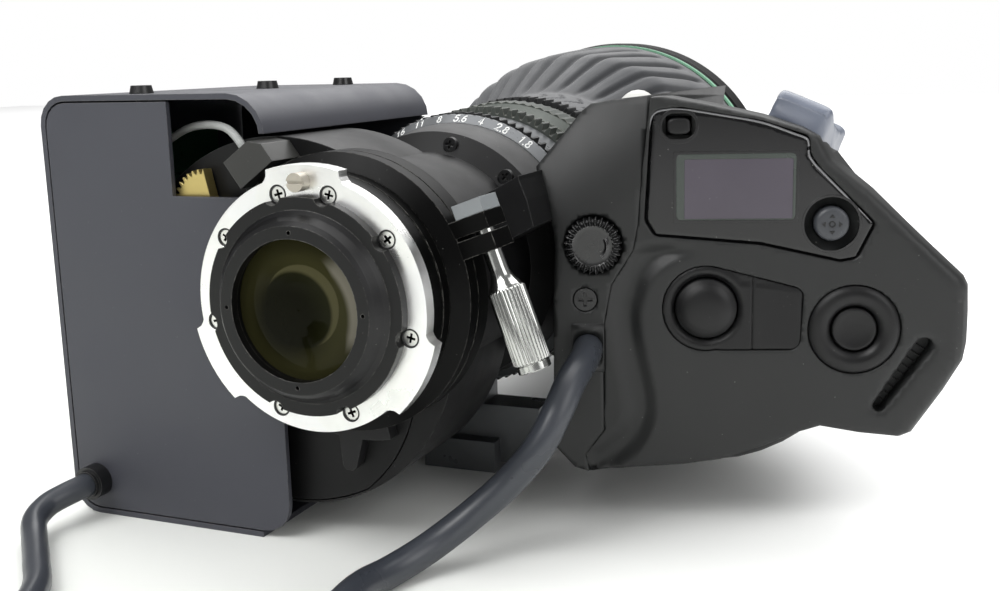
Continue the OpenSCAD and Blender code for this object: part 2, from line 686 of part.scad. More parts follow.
module box_screws() color("black") for (p = box_screw_places_share)
    translate([-box_left * p[0], box_y + box_l * p[1], box_top + seat_gap]) {
        difference() {
            cylinder(r1 = box_screw_head_r, r2 = box_screw_head_r * (1 - cross_w_share), h =
                box_screw_head_h);
            for (a = [0, right_angle]) rotate(a)
                translate([-box_screw_head_r * cross_l_share, -box_screw_head_r * cross_w_share,
                    box_screw_head_h * cross_h_share])
                    cube([2 * box_screw_head_r * cross_l_share, 2 * box_screw_head_r * cross_w_share,
                        box_screw_head_h]);
        }
        translate([0, 0, -box_screw_l]) cylinder(r = box_screw_r, h = box_screw_l);
    }
// Bracket from the drum to the left wall of the box
bracket_z = -22;
bracket_h = 16;
bracket_y = 30;
bracket_l = 22;
box_inner_left = box_left - sheet_t;
module box_bracket() color("gray") difference() {
    translate([-box_inner_left + seat_gap, bracket_y, bracket_z]) cube([box_inner_left - drum_r,
        bracket_l, bracket_h]);
    translate([drum_x, 0, drum_z]) rod(drum_r + seat_gap, bracket_y - over, bracket_y + bracket_l + over);
}
board_t = 1.6;
board_h = 34;
board_l = 60;
board_chips = 4;
chip_h = 2.4;
chip_w = 9;
module control_board() color("darkgreen") translate([-box_inner_left + plate_gap,
    box_y + sheet_t + box_corner_r, 0]) {
    cube([board_t, board_l, board_h]);
    for (i = [0 : board_chips - 1])
        translate([board_t - seat_gap, (i + cross_h_share) * board_l / board_chips - chip_w / 2,
            (board_h - chip_w) / 2])
            cube([chip_h, chip_w, chip_w]);
}
// Brass gear sector of the extender drive, seen through the notch, on a spindle in the drum's face
brass_teeth = 33;
brass_module = 0.5;
brass_x = -40.6;
brass_z = 18.5;
brass_y = 20.2;
brass_w = 3.3;
brass_hub_r = 2.8;
brass_shaft_r = 1.5;
brass_shaft_l = 6;
brass_wedge = [[2.4, 0], [-0.4, 12], [-12, 12], [-12, -1.5], [0, -2.4]];
module brass_gear() color("goldenrod") translate([brass_x, 0, brass_z]) {
    prism(brass_y, brass_y + brass_w) intersection() {
        scale(brass_module / gear_module) gear_outline(brass_teeth);
        polygon(brass_wedge);
    }
    rod(brass_hub_r, brass_y, brass_y + brass_w);
    rod(brass_shaft_r, brass_y + brass_w - seat_gap, y_housing + brass_shaft_l);
}
// Plug block on the housing's upper left and the short lead that reaches it out of the box
plug_angle = -36;
plug_r0 = 33.2;
plug_w = 11;
plug_h = 7.4;
plug_l = 12;
plug_bevel = 2.6;
module plug_block() color("dimgray") at_clock(plug_angle, 0) {
    prism(y_housing - plug_l, y_housing - seat_gap) polygon([
        [-plug_w / 2, plug_r0], [plug_w / 2, plug_r0], [plug_w / 2, plug_r0 + plug_h - plug_bevel],
        [plug_w / 2 - plug_bevel, plug_r0 + plug_h], [-plug_w / 2, plug_r0 + plug_h]]);
}
// Sweep of a round lead along hand-chosen points
function ring_at(p, d, r, sides) = let (
    side = norm(cross(d, [0, 0, 1])) > 0.01 ? unit(cross(d, [0, 0, 1])) : [1, 0, 0], up = cross(side, d))
    [for (i = [0 : sides - 1]) let (a = i * full_turn / sides) p + r * (cos(a) * side + sin(a) * up)];
function spline(pts, per) = let (m = len(pts)) [for (i = [0 : m - 2]) let (
    p0 = pts[max(i - 1, 0)], p1 = pts[i], p2 = pts[i + 1], p3 = pts[min(i + 2, m - 1)])
    for (k = [0 : i == m - 2 ? per : per - 1]) let (t = k / per)
        (2 * p1 + (p2 - p0) * t + (2 * p0 - 5 * p1 + 4 * p2 - p3) * t * t + (3 * p1 - p0 - 3 * p2 + p3)
            * t * t * t) / 2];
function heading(path, i, ends) = let (m = len(path))
    i == 0 ? unit(ends[0]) : i == m - 1 ? unit(ends[1]) : unit(path[i + 1] - path[i - 1]);
module lead(path, r, sides, ends) {
    m = len(path);
    points = [for (i = [0 : m - 1]) each ring_at(path[i], heading(path, i, ends), r, sides)];
    side = [for (k = [0 : m - 2]) for (i = [0 : sides - 1]) let (j = (i + 1) % sides,
        a = k * sides + i, b = k * sides + j, c = a + sides, d = b + sides) each [[a, d, b], [a, c, d]]];
    cap0 = [for (i = [1 : sides - 2]) [0, i, i + 1]];
    cap1 = [for (i = [1 : sides - 2]) let (o = (m - 1) * sides) [o, o + i + 1, o + i]];
    polyhedron(points, concat(side, cap0, cap1));
}
plug_lead_d = 2;
plug_lead_path = [[-58, 30, 33], [-50, 28, 36.4], [-41, 24.5, 37.6], [-33, 20.6, 37], [-28.4, 18.4,
    34.6], [-26, 18, 31.5]];
plug_lead_ends = [[8, -2, 4], [2, 0, -3]];
module plug_lead() color("darkgray") lead(spline(plug_lead_path, 3), plug_lead_d / 2, 8, plug_lead_ends);

// Drive unit: a housing beside the barrel, split from the palm shell along a seam
panel_x = 60;
panel_y = 55;
panel_w = cos(panel_yaw);
drive_y1 = 136;
seam_gap = 0.2;
module in_panel() translate([panel_x, panel_y, 0]) rotate([0, 0, panel_yaw]) children();
// Everything behind the rear panel
module behind_panel(depth = 0) in_panel()
    translate([-housing_reach, depth - housing_reach, -housing_reach]) cube([2 * housing_reach,
        housing_reach, 2 * housing_reach]);
housing_reach = 120;
function on_world(pts) = [for (p = pts) [panel_x + p[0] * panel_w, p[1], len(p) > 2 ? p[2] : 0]];
seam = [[0.6, 42.2], [0.2, 39.5], [-1.4, 25], [-2.4, 12], [-3.6, 6], [-8.9, -2.5], [-10.9, -13.5],
    [-10.9, -38.8],
    [-15.6, -45.4], [-14.6, -49.4]];
drive_edge = [[-18, -48.4], [-24.2, -41.6], [-23, -31.3], [-22.7, -6.2], [-22.1, 6.3], [-22.5, 11],
    [-24.7, 19.4],
    [-26.6, 23.8], [-26.9, 25.6], [-15.6, 38.8], [-13.6, 40.3], [-9.2, 41.1]];
iris_angle = 70;
zoom_angle = 93;
focus_angle = 116;
mesh_gap = 0.12;
motor_r = 6;
motor_l = 26;
shaft_r = 1.5;
shaft_l = 6;
iris_gear_y = [y_iris + number_h + side_gap, y_iris + iris_l - side_gap];
zoom_gear_y = [y_zoom + side_gap, y_zoom + zoom_gear_l - side_gap];
focus_gear_y = [y_focus + 2 * side_gap, y_focus + focus_gear_l];
function drive_r(teeth) = gear_r(teeth) + gear_r(pinion_teeth) + mesh_gap;
module drive_pockets(gap) {
    for (g = [[iris_angle, iris_teeth, iris_gear_y], [zoom_angle, zoom_teeth, zoom_gear_y], [focus_angle,
        focus_teeth, focus_gear_y]])
        at_clock(g[0], drive_r(g[1])) {
            rod(gear_tip_r(pinion_teeth) + gap, g[2][0] - gap, g[2][1] + gap);
            rod(shaft_r + run_gap, g[2][0] - shaft_l - gap, g[2][1] + shaft_l);
        }
    motor_bores(seat_gap);
}
module motor_bores(gap) {
    at_clock(iris_angle, drive_r(iris_teeth)) rod(motor_r + gap, iris_gear_y[1] + shaft_l - gap,
        iris_gear_y[1] + shaft_l + motor_l + gap);
    at_clock(zoom_angle, drive_r(zoom_teeth)) rod(motor_r + gap, zoom_gear_y[1] + shaft_l - gap,
        zoom_gear_y[1] + shaft_l + motor_l + gap);
    at_clock(focus_angle, drive_r(focus_teeth)) rod(motor_r + gap,
        focus_gear_y[0] - shaft_l - motor_l - gap, focus_gear_y[0] - shaft_l + gap);
}
module drive_motors() color("gray") motor_bores(0);
module pinion(angle, teeth, span, phase) color("gainsboro") at_clock(angle, drive_r(teeth)) {
    prism(span[0], span[1]) gear_outline(pinion_teeth, phase);
    rod(shaft_r, span[0] - shaft_l + side_gap, span[1] + shaft_l - side_gap);
}
// The ring's tooth 0 lies along +X; a pinion starts with a space where the ring has a tooth
function mesh_phase(angle, teeth) = cross_h_share
    + ((right_angle + half_turn) * pinion_teeth + (right_angle - angle) * teeth) / full_turn;
module iris_pinion() pinion(iris_angle, iris_teeth, iris_gear_y, mesh_phase(iris_angle, iris_teeth));
module zoom_pinion() pinion(zoom_angle, zoom_teeth, zoom_gear_y, mesh_phase(zoom_angle, zoom_teeth));
module focus_pinion() pinion(focus_angle, focus_teeth, focus_gear_y, mesh_phase(focus_angle, focus_teeth));

ring_clear = 2.4;
band_clear = 1.2;
module barrel_clearance() {
    rod(band_front_r + band_clear, -over, y_tube);
    rod(zoom_knurl_r + ring_clear, y_tube - over, y_flare + 2 * over);
}
knob_u = -12.9;
knob_z = 7.3;
knob_recess = 1.2;
knob_h = 4.2;
knob_shaft_r = 2.5;
knob_shaft_l = 6;
knob_teeth = 30;
knob_rim_share = 0.72;
grip_screw_u = -15;
grip_screw_z = -6.1;
grip_screw_head_r = 2.75;
grip_screw_head_h = 1.6;
lead_u = -14.4;
lead_z = -18;
lead_plate_w = 7.8;
lead_plate_h = 11.6;
lead_plate_t = 1;
lead_hole_l = 8;
module drive_housing() color("dimgray") difference() {
    union() {
        prism(0, drive_y1) polygon(rounded(on_world(concat(seam, drive_edge)), 3));
        in_panel() translate([lead_u - lead_plate_w / 2, -lead_plate_t, lead_z - lead_plate_h / 2])
            cube([lead_plate_w, lead_plate_t + over, lead_plate_h]);
    }
    difference() {
        behind_panel();
        in_panel() translate([lead_u - lead_plate_w / 2, -lead_plate_t, lead_z - lead_plate_h / 2])
            cube([lead_plate_w, lead_plate_t + over, lead_plate_h]);
    }
    barrel_clearance();
    drive_pockets(mesh_gap + side_gap);
    in_panel() {
        translate([knob_u, 0, knob_z]) {
            rod(knob_d / 2 + side_gap, -over, knob_recess + side_gap);
            rod(knob_shaft_r + run_gap, 0, knob_recess + knob_shaft_l);
        }
        translate([grip_screw_u, 0, grip_screw_z]) {
            rod(grip_screw_head_r + side_gap, -over, grip_screw_head_h);
            rod(flange_screw_r + run_gap, 0, grip_screw_head_h + flange_screw_l);
        }
        translate([lead_u, 0, lead_z]) rod(grip_lead_d / 2 + seat_gap, -lead_plate_t - over, lead_hole_l);
    }
    top_button_well();
}
module knob() color("black") in_panel() translate([knob_u, 0, knob_z]) {
    difference() {
        prism(knob_recess - knob_h, knob_recess) polygon([for (i = [0 : 2 * knob_teeth - 1]) let (a =
            i * half_turn / knob_teeth,
            r = knob_d / 2 * (i % 2 == 0 ? 1 : 1 - cross_w_share / 2)) [r * cos(a), r * sin(a)]]);
        rod(knob_d / 2 * knob_rim_share, knob_recess - knob_h - over, knob_recess - knob_h + lead_plate_t);
    }
    rod(knob_shaft_r, knob_recess - seat_gap, knob_recess + knob_shaft_l - side_gap);
}
module grip_screws() color("black") in_panel() translate([grip_screw_u, seat_gap, grip_screw_z])
    cross_screw(grip_screw_head_r, grip_screw_head_h - 2 * seat_gap, flange_screw_r,
        flange_screw_l - side_gap);

// Arm that carries the drive unit on the barrel
arm_angle = 62;
arm_w = 12;
arm_y0 = 38;
arm_y1 = 57;
arm_reach = 46;
module mount_arm() color("dimgray") difference() {
    at_clock(arm_angle, 0) translate([-arm_w / 2, arm_y0, 0]) cube([arm_w, arm_y1 - arm_y0, arm_reach]);
    rod(housing_r + seat_gap, arm_y0 - over, arm_y1 + over);
    prism(arm_y0 - over, arm_y1 + over) polygon(rounded(on_world(concat(seam, drive_edge)), 3));
}

// Palm shell: its rear outline morphs into the belly as it runs forward
shell_outline = [
    [4, 41.7], [13, 39.9], [25.5, 36.9], [34.5, 34], [38.6, 31.9], [40.2, 28.9], [41.8, 26.2], [50.3, 19.2],
    [62.8, 6.9], [71.4, -1.4], [72.5, -3.6], [72.8, -10], [72.8, -17], [72.2, -20.6], [68.2, -27.8],
        [61.4, -38.2],
    [59, -39.3], [50, -38.5], [41, -37], [36, -38.6], [28, -42.2], [17.4, -45.9], [8, -47.4], [-4, -48.4],
    [-14.6, -49.4], [-16.6, -46.8], [-16, -38], [-16, -26], [-16, -13.5], [-13, -2.5], [-8, 6], [-4.6,
        12], [-3, 25],
    [-2.6, 38], [-1.4, 41.6]];
// Each ring: depth, share of the belly shape, then the belly's centre x and z and half sizes
shell_rings = [
    [0, 0, 68, -9, 34, 40], [1.6, -0.02, 68, -9, 34, 40], [7, -0.02, 68, -9, 34, 40], [12, 0.02, 68,
        -9.4, 35, 40.6],
    [14.5, 0.5, 68, -10, 38, 41.6], [20, 0.76, 68.4, -10.4, 39, 42.6], [32, 0.97, 68.5, -10.5, 39.5, 43],
    [48, 1, 68.5, -10.5, 39.5, 43], [66, 1, 68, -10.5, 38.4, 42.6], [80, 1, 66, -10.4, 34, 40],
    [91, 1, 64, -10, 27, 34], [97, 1, 63, -9.6, 18, 24]];
// The shell rises to a sloping bed round the rocker, between these two depths
bed_wall = 2.6;
bed_edge = 0.3;
bed_span = [12, 50];
bed_slopes_share = [0.386, 0.242];
bed_run_share = 0.35;
function bed_z(x, y) = rocker_z + bed_edge - bed_slopes_share[0] * (x - panel_x - rocker_u * panel_w)
    - bed_slopes_share[1] * (y - panel_y - rocker_depth);
function bedded(q, depth) = depth >= bed_span[0] && depth <= bed_span[1] && q[2] > 0
    && abs(q[0] - panel_x - rocker_u * panel_w) < rocker_w / 2 + bed_wall
    ? let (y = max(q[1], panel_y + (q[0] - panel_x) * tan(panel_yaw) + bed_span[0]
        + bed_run_share * (depth - bed_span[0]))) [q[0], y, max(q[2], bed_z(q[0], y))] : q;
function shell_point(p, k) = let (x = panel_x + p[0] * panel_w, z = p[1], c = [k[2], k[3]],
    a = atan2((z - k[3]) / k[5], (x - k[2]) / k[4]), b = [k[2] + k[4] * cos(a), k[3] + k[5] * sin(a)],
    q = [x, z] + ([b[0], b[1]] - [x, z]) * k[1])
    bedded([q[0], panel_y + (x - panel_x) * tan(panel_yaw) * (1 - k[1]) + k[0], q[1]], k[0]);
function subdivided(pts) = let (m = len(pts)) [for (i = [0 : m - 1]) each [pts[i], (pts[i] + pts[(i + 1)
    % m]) / 2]];
function ring_middle(ring) = (ring[0] + ring[floor(len(ring) / 2)]) / 2;
module loft(rings) {
    n = len(rings);
    count = len(rings[0]);
    points = [for (ring = rings) each ring];
    side = [for (k = [0 : n - 2]) for (i = [0 : count - 1]) let (j = (i + 1) % count,
        a = k * count + i, b = k * count + j, c = a + count, d = b + count) each [[a, b, d], [a, d, c]]];
    middle = [for (ring = [rings[0], rings[n - 1]]) ring_middle(ring)];
    cap0 = [for (i = [0 : count - 1]) [n * count, (i + 1) % count, i]];
    cap1 = [for (i = [0 : count - 1]) [n * count + 1, (n - 1) * count + i, (n - 1) * count + (i + 1)
        % count]];
    polyhedron(concat(points, middle), concat(side, cap0, cap1));
}
shell_floor_left = 44;
window_u = 20.4;
window_z = 20.7;
panel_t = 2;
panel_sink = 0.3;
menu_u = 42.4;
menu_z = 11.9;
menu_r = 4;
menu_well_r = 6.4;
display_key_u = 7.2;
display_key_z = 35;
display_key_w = 5.4;
display_key_h = 3.9;
display_key_well = 1.5;
record_u = 13.8;
record_z = -8.3;
record_plate_r = 10.3;
aux_u = 48.2;
aux_z = -13.2;
aux_button_d = 10.4;
plate_sink = 1.6;
key_h = 3;
key_depth = 4.4;
slot_top = [64.3, -17.2];
slot_bottom = [54.5, -31.8];
slot_taper_share = 0.7;
slot_depth = 9;
panel_outline = [[0.9, 38.9, 3], [8, 39.3, 6], [26, 35.9, 8], [36.9, 32.2, 1.8], [37.2, 28, 3], [39.5,
    24.8, 3],
    [52.4, 12, 1.6], [48.4, 3.6, 2.6], [44.5, 2.9, 2], [26.2, 7.1, 8], [1.6, 9.2, 2.2], [-0.7, 13, 3]];
panel_centre = [22, 20];
function grown(pts, g, c) = [for (p = pts) let (v = unit([p[0], p[1]] - c)) [p[0] + v[0] * g,
    p[1] + v[1] * g, p[2] + g]];
record_right = 36.4;
record_top = -3.6;
record_bottom = -18.2;
record_round = 2.6;
record_lean = 0.8;
record_arc = [70, 282];
module record_shape(g) {
    curve = arc(record_u, record_z, record_plate_r + g, record_arc[0], record_arc[1], 18);
    low = [record_right + g - record_lean, record_bottom - g, record_round + g];
    high = [record_right + g, record_top + g, record_round + g];
    polygon(concat(curve, corner(curve[len(curve) - 1], low, high, 5), corner(low, high, curve[0], 5)));
}
module shell_solid() {
    loft([for (k = shell_rings) [for (p = subdivided(shell_outline)) shell_point(p, k)]]);
}
// What the palm shell gives way to on the barrel side
module shell_cut() {
    prism(0, drive_y1 + side_gap) polygon([for (p = concat(
        [[-rest_depth, box_top], [seam[0][0], box_top]], [for (p = seam) [p[0] + seam_gap, p[1]]],
            [[-rest_depth, seam[len(seam) - 1][1]]]))
        [panel_x + p[0] * panel_w, p[1]]]);
    translate([-rest_depth, 0, -rest_depth - over]) cube([rest_depth + shell_floor_left,
        2 * housing_reach, 2 * rest_depth]);
}
module grip_shell() color("dimgray") difference() {
    shell_solid();
    shell_cut();
    drive_pockets(mesh_gap + side_gap);
    rod(zoom_knurl_r + ring_clear, y_tube - over, y_flare + drive_y1);
    in_panel() {
        prism(-housing_reach, panel_sink + panel_t) polygon(rounded(grown(panel_outline, seam_gap,
            panel_centre)));
        prism(-housing_reach, plate_sink + panel_sink) record_shape(seam_gap);
        translate([aux_u, 0, aux_z]) rod(aux_ring_d / 2 + seam_gap, -over, plate_sink + panel_sink);
        for (p = [[record_u, record_z, record_d / 2], [aux_u, aux_z, aux_button_d / 2], [menu_u, menu_z,
            menu_r]])
            translate([p[0], 0, p[1]]) rod(p[2] + side_gap, 0, plate_sink + key_depth);
        translate([display_key_u - display_key_w / 2 - side_gap, 0,
            display_key_z - display_key_h / 2 - side_gap])
            cube([display_key_w + 2 * side_gap, plate_sink + key_depth, display_key_h + 2 * side_gap]);
        prism(-over, slot_depth) hull() {
            translate(slot_top) circle(slot_w / 2, $fn = 24);
            translate(slot_bottom) circle(slot_w / 2 * slot_taper_share, $fn = 24);
        }
    }
    rocker_well();
}

module display_panel() color("black") in_panel() difference() {
    prism(panel_sink, panel_sink + panel_t) polygon(rounded(panel_outline));
    translate([menu_u, 0, menu_z]) rod(menu_well_r, -over, panel_sink + panel_t + over);
    prism(-over, panel_sink + panel_t + over) translate([display_key_u, display_key_z])
        scale([(display_key_w + 2 * display_key_well) / 2, (display_key_h + 2 * display_key_well) / 2])
            circle(1);
    translate([window_u - window_w / 2 - seat_gap, 0, window_z - window_h / 2 - seat_gap])
        cube([window_w + 2 * seat_gap, panel_sink + panel_t / 2, window_h + 2 * seat_gap]);
}
module display_window() color("slategray") in_panel()
    translate([window_u - window_w / 2, panel_sink, window_z - window_h / 2]) cube([window_w,
        panel_t / 2 - seat_gap, window_h]);
key_foot = plate_sink + key_depth - button_travel - side_gap;
display_key_round = 1.4;
module display_button() color("black") in_panel() prism(-panel_sink, key_foot)
    translate([display_key_u, display_key_z]) polygon(rounded([
        [-display_key_w / 2, -display_key_h / 2, display_key_round], [display_key_w / 2,
            -display_key_h / 2, display_key_round],
        [display_key_w / 2, display_key_h / 2, display_key_round], [-display_key_w / 2,
            display_key_h / 2, display_key_round]]));
dome_shares = [[0, 1], [0.35, 0.9], [0.6, 0.66], [0.8, 0.36], [0.93, 0.13], [1, 0]];
menu_dome = 0.4;
record_dome = 1.8;
record_edge = 0.4;
aux_dish = 0.4;
module round_key(u, z, r, top, dome) in_panel() translate([u, 0, z]) lathe(concat(
    [for (s = dome_shares) [r * s[0], top - dome * s[1]]], [[r, key_foot], [0, key_foot]]));
module menu_key() color("dimgray") round_key(menu_u, menu_z, menu_r, -panel_sink, menu_dome);
module record_plate() color("dimgray") in_panel() difference() {
    prism(0, plate_sink) record_shape(0);
    translate([record_u, 0, record_z]) rod(record_d / 2 + side_gap, -over, plate_sink + over);
}
module record_button() color("dimgray") round_key(record_u, record_z, record_d / 2, -record_edge,
    record_dome);
aux_ring_h = 1;
aux_ring_land = 2.4;
aux_ring_round = 0.8;
module aux_ring() color("dimgray") in_panel() translate([aux_u, 0, aux_z])
    lathe([[aux_button_d / 2 + side_gap, seam_gap], [aux_ring_d / 2 - aux_ring_land, -aux_ring_h],
        [aux_ring_d / 2 - aux_ring_round, -aux_ring_round], [aux_ring_d / 2, 0],
        [aux_ring_d / 2, plate_sink], [aux_button_d / 2 + side_gap, plate_sink]]);
module aux_button() color("dimgray") round_key(aux_u, aux_z, aux_button_d / 2, 0, -aux_dish);

// Zoom rocker and the round button on top
rocker_u = 31.7;
rocker_z = 29.5;
rocker_yaw = -5;
rocker_tilt = 20;
rocker_pitch = -14.5;
rocker_depth = 30.2;
rocker_w = 15.4;
rocker_l = 32;
rocker_h = 9;
rocker_axle_r = 1.6;
bed_lip = 2.2;
module at_rocker() translate([panel_x + rocker_u * panel_w, panel_y + rocker_depth, rocker_z])
    rotate([0, 0, rocker_yaw]) rotate([0, rocker_tilt, 0]) rotate([rocker_pitch, 0, 0]) children();
module rocker_well() difference() {
    at_rocker() {
        translate([-rocker_w / 2 - side_gap, -rocker_l / 2 - over, -rocker_h / 2])
            cube([rocker_w + 2 * side_gap, rocker_l + 2 * over, rest_depth]);
        translate([-rocker_w / 2 - over, 0, 0]) rotate([0, right_angle, 0])
            cylinder(r = rocker_axle_r + run_gap, h = rocker_w + 2 * over);
    }
    behind_panel(bed_lip);
}
rocker_foot = 1;
rocker_tip_round = 3;
rocker_dip = 3;
rocker_dip_round = 6;
rocker_dip_share = 0.2;
rocker_hollow = 1.5;
rocker_hollow_share = 0.45;
rocker_hollow_round = 9;
rocker_lean = [1.4, 0.5];
rocker_side_round = 3;
module zoom_rocker() color("dimgray") at_rocker() {
    intersection() {
        rotate([right_angle, 0, right_angle]) translate([0, 0, -rocker_w / 2]) linear_extrude(rocker_w)
            polygon(rounded([
            [-rocker_l / 2 + rocker_foot, -rocker_foot, 0], [rocker_l / 2 - rocker_foot, -rocker_foot, 0],
            [rocker_l / 2, rocker_h, rocker_tip_round],
            [rocker_l * rocker_dip_share, rocker_h - rocker_dip, rocker_dip_round],
            [-rocker_l * rocker_dip_share, rocker_h - rocker_dip, rocker_dip_round],
            [-rocker_l / 2, rocker_h, rocker_tip_round],
            [-rocker_l / 2 + rocker_hollow, rocker_h * rocker_hollow_share, rocker_hollow_round]]));
        translate([0, rocker_l, 0]) rotate([right_angle, 0, 0]) linear_extrude(2 * rocker_l)
            polygon(rounded([
            [-rocker_w / 2, -rocker_h, 0], [rocker_w / 2, -rocker_h, 0],
            [rocker_w / 2 - rocker_lean[1], rocker_h, rocker_side_round],
            [-rocker_w / 2 + rocker_lean[0], rocker_h, rocker_side_round]]));
    }
    translate([-rocker_w / 2 - over / 2, 0, 0]) rotate([0, right_angle, 0])
        cylinder(r = rocker_axle_r, h = rocker_w + over);
}
top_button_u = -7.2;
top_button_depth = 16;
top_button_r = 4.4;
top_button_h = 5.6;
top_button_dome = 2.4;
top_button_z = 34;
module top_button_well() translate([panel_x + top_button_u * panel_w, panel_y + top_button_depth,
    top_button_z])
    cylinder(r = top_button_r + side_gap, h = rest_depth);
module top_button() color("lightgray")
    translate([panel_x + top_button_u * panel_w, panel_y + top_button_depth,
        top_button_z + button_travel + side_gap])
        rotate_extrude() polygon(concat([[0, 0], [top_button_r, 0]], [for (i = [len(dome_shares)
            - 1 : -1 : 0])
            [top_button_r * dome_shares[i][0], top_button_h + top_button_dome * dome_shares[i][1]]]));

// Box gland, the two leads and their plugs
gland_nut_r = 4.4;
gland_nut_l = 4;
gland_l = 9;
gland_sides = 6;
module box_gland() color("black") translate([gland_x, 0, gland_z]) difference() {
    union() {
        rod(gland_hole_r, box_y - gland_l + gland_nut_l, box_y + sheet_t + over);
        rod(gland_nut_r, box_y - gland_nut_l - seat_gap, box_y - seat_gap);
    }
    rod(box_lead_d / 2 + seat_gap, box_y - gland_l - over, box_y + sheet_t + 2 * over);
}
// The first points are in the lens's frame; the rest are heights above the table
function above_table(pts) = [for (p = pts) [p[0], p[1], p[2] - rest_depth]];
grip_lead_path = concat([[44.3, 58, -18], [46.1, 51.3, -18], [47.6, 44, -19], [47.2, 35, -22.4], [46, 29,
    -28],
    [42.5, 25, -36]], above_table([[35.5, 23, 19.5], [27.5, 19, 12], [20.5, 12, 6.4], [15.4, 3, 3.7],
        [13, -8, 3.7],
    [15, -26, 3.7], [20, -48, 3.7], [22, -72, 3.7], [17, -96, 5.6], [11, -112, 7.6], [10, -120, 8], [10,
        -130, 8],
    [10, -140, 8]]));
grip_lead_ends = [[0.26, -0.97, 0], [0, -1, 0]];
module grip_lead() color("black") lead(spline(grip_lead_path, 3), grip_lead_d / 2, 10, grip_lead_ends);
box_lead_path = above_table([[-79, 22, 9.4], [-79, 14, 9.4], [-79, 11.6, 9.4], [-80.6, 7, 8.6], [-82.4,
    2.6, 7.2],
    [-81.4, -3, 5.4], [-76, -9, 3.6], [-66, -19, 3.1], [-55, -31, 3.1], [-47, -48, 3.1], [-45, -68, 3.1],
    [-52, -90, 4.4], [-65, -106, 7], [-70, -118, 8], [-70, -128, 8], [-70, -138, 8]]);
box_lead_ends = [[0, -1, 0], [0, -1, 0]];
module box_lead() color("black") lead(spline(box_lead_path, 3), box_lead_d / 2, 10, box_lead_ends);
plug_shell_r = 8;
plug_shell_l = 22;
boot_l = 14;
boot_wall = [1, 2];
plug_nose_r = 6.4;
plug_nose_l = 10;
plug_wall = 1;
plug_floor = 2;
module round_plug(at, lead_d) translate([at[0], at[1], -rest_depth + plug_shell_r]) rotate([0, 0,
    half_turn]) lathe([
    [lead_d / 2 + seat_gap, 0], [lead_d / 2 + boot_wall[0], 0], [lead_d / 2 + boot_wall[1], boot_l],
        [plug_shell_r, boot_l],
    [plug_shell_r, boot_l + plug_shell_l], [plug_nose_r, boot_l + plug_shell_l],
    [plug_nose_r, boot_l + plug_shell_l + plug_nose_l], [plug_nose_r - plug_wall,
        boot_l + plug_shell_l + plug_nose_l],
    [plug_nose_r - plug_wall, boot_l + plug_shell_l + plug_floor], [lead_d / 2 + seat_gap,
        boot_l + plug_shell_l + plug_floor]]);
grip_plug_at = [10, -128];
box_plug_at = [-70, -126];
module grip_plug() color("gray") round_plug(grip_plug_at, grip_lead_d);
module box_plug() color("gray") round_plug(box_plug_at, box_lead_d);

mount_flange();
flange_screws();
locating_pin();
rear_spigot();
rear_glass();
rear_barrel();
back_focus_ring();
clamp_spacer();
lock_screw();
extender_housing();
extender_cover();
extender_lever();
iris_flange();
band_screws();
main_tube();
iris_ring();
zoom_ring();
focus_ring();
rubber_grip();
front_barrel();
stripe_ring();
front_rim();
front_glass();
focus_cell();
zoom_cell();
relay_glass();
iris_blades();
box_cover();
box_rear_plate();
box_front_plate();
box_screws();
box_bracket();
control_board();
brass_gear();
plug_block();
plug_lead();
box_gland();
mount_arm();
drive_housing();
drive_motors();
iris_pinion();
zoom_pinion();
focus_pinion();
grip_shell();
grip_screws();
display_panel();
display_window();
display_button();
menu_key();
record_plate();
record_button();
aux_ring();
aux_button();
knob();
zoom_rocker();
top_button();
grip_lead();
grip_plug();
box_lead();
box_plug();
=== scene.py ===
import json
import math
import bmesh
import bpy
import numpy as np
from mathutils import Matrix, Vector


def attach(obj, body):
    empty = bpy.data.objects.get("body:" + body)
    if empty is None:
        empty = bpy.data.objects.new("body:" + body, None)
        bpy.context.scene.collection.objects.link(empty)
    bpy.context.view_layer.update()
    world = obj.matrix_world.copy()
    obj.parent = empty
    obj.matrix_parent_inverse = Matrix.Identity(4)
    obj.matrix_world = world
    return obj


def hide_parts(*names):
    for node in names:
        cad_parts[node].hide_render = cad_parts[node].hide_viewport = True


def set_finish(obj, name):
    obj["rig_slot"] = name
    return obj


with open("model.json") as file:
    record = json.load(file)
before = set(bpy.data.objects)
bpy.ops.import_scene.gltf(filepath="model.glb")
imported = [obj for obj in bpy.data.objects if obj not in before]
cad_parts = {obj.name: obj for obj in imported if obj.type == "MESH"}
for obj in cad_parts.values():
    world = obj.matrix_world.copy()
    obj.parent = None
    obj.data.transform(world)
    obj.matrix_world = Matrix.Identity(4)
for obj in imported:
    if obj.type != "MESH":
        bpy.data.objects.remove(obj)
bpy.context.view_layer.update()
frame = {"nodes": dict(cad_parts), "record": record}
nodes = frame["nodes"]
print("frame loaded:", len(nodes), "nodes")

mm = 0.001
tableZ = -64 * mm

# The camera stands where the photograph was taken from: the view's own axes are turned by azimuth, elevation and roll
cameraSet = {"place": (137.9, -218.5, 51.3), "azimuth": 23.04, "elevation": 11.11, "roll": -1.49, "lens": 43.29,
             "sensor": 36, "clip": (0.005, 20)}


def addObject(name, data):
    piece = bpy.data.objects.new(name, data)
    bpy.context.scene.collection.objects.link(piece)
    return piece


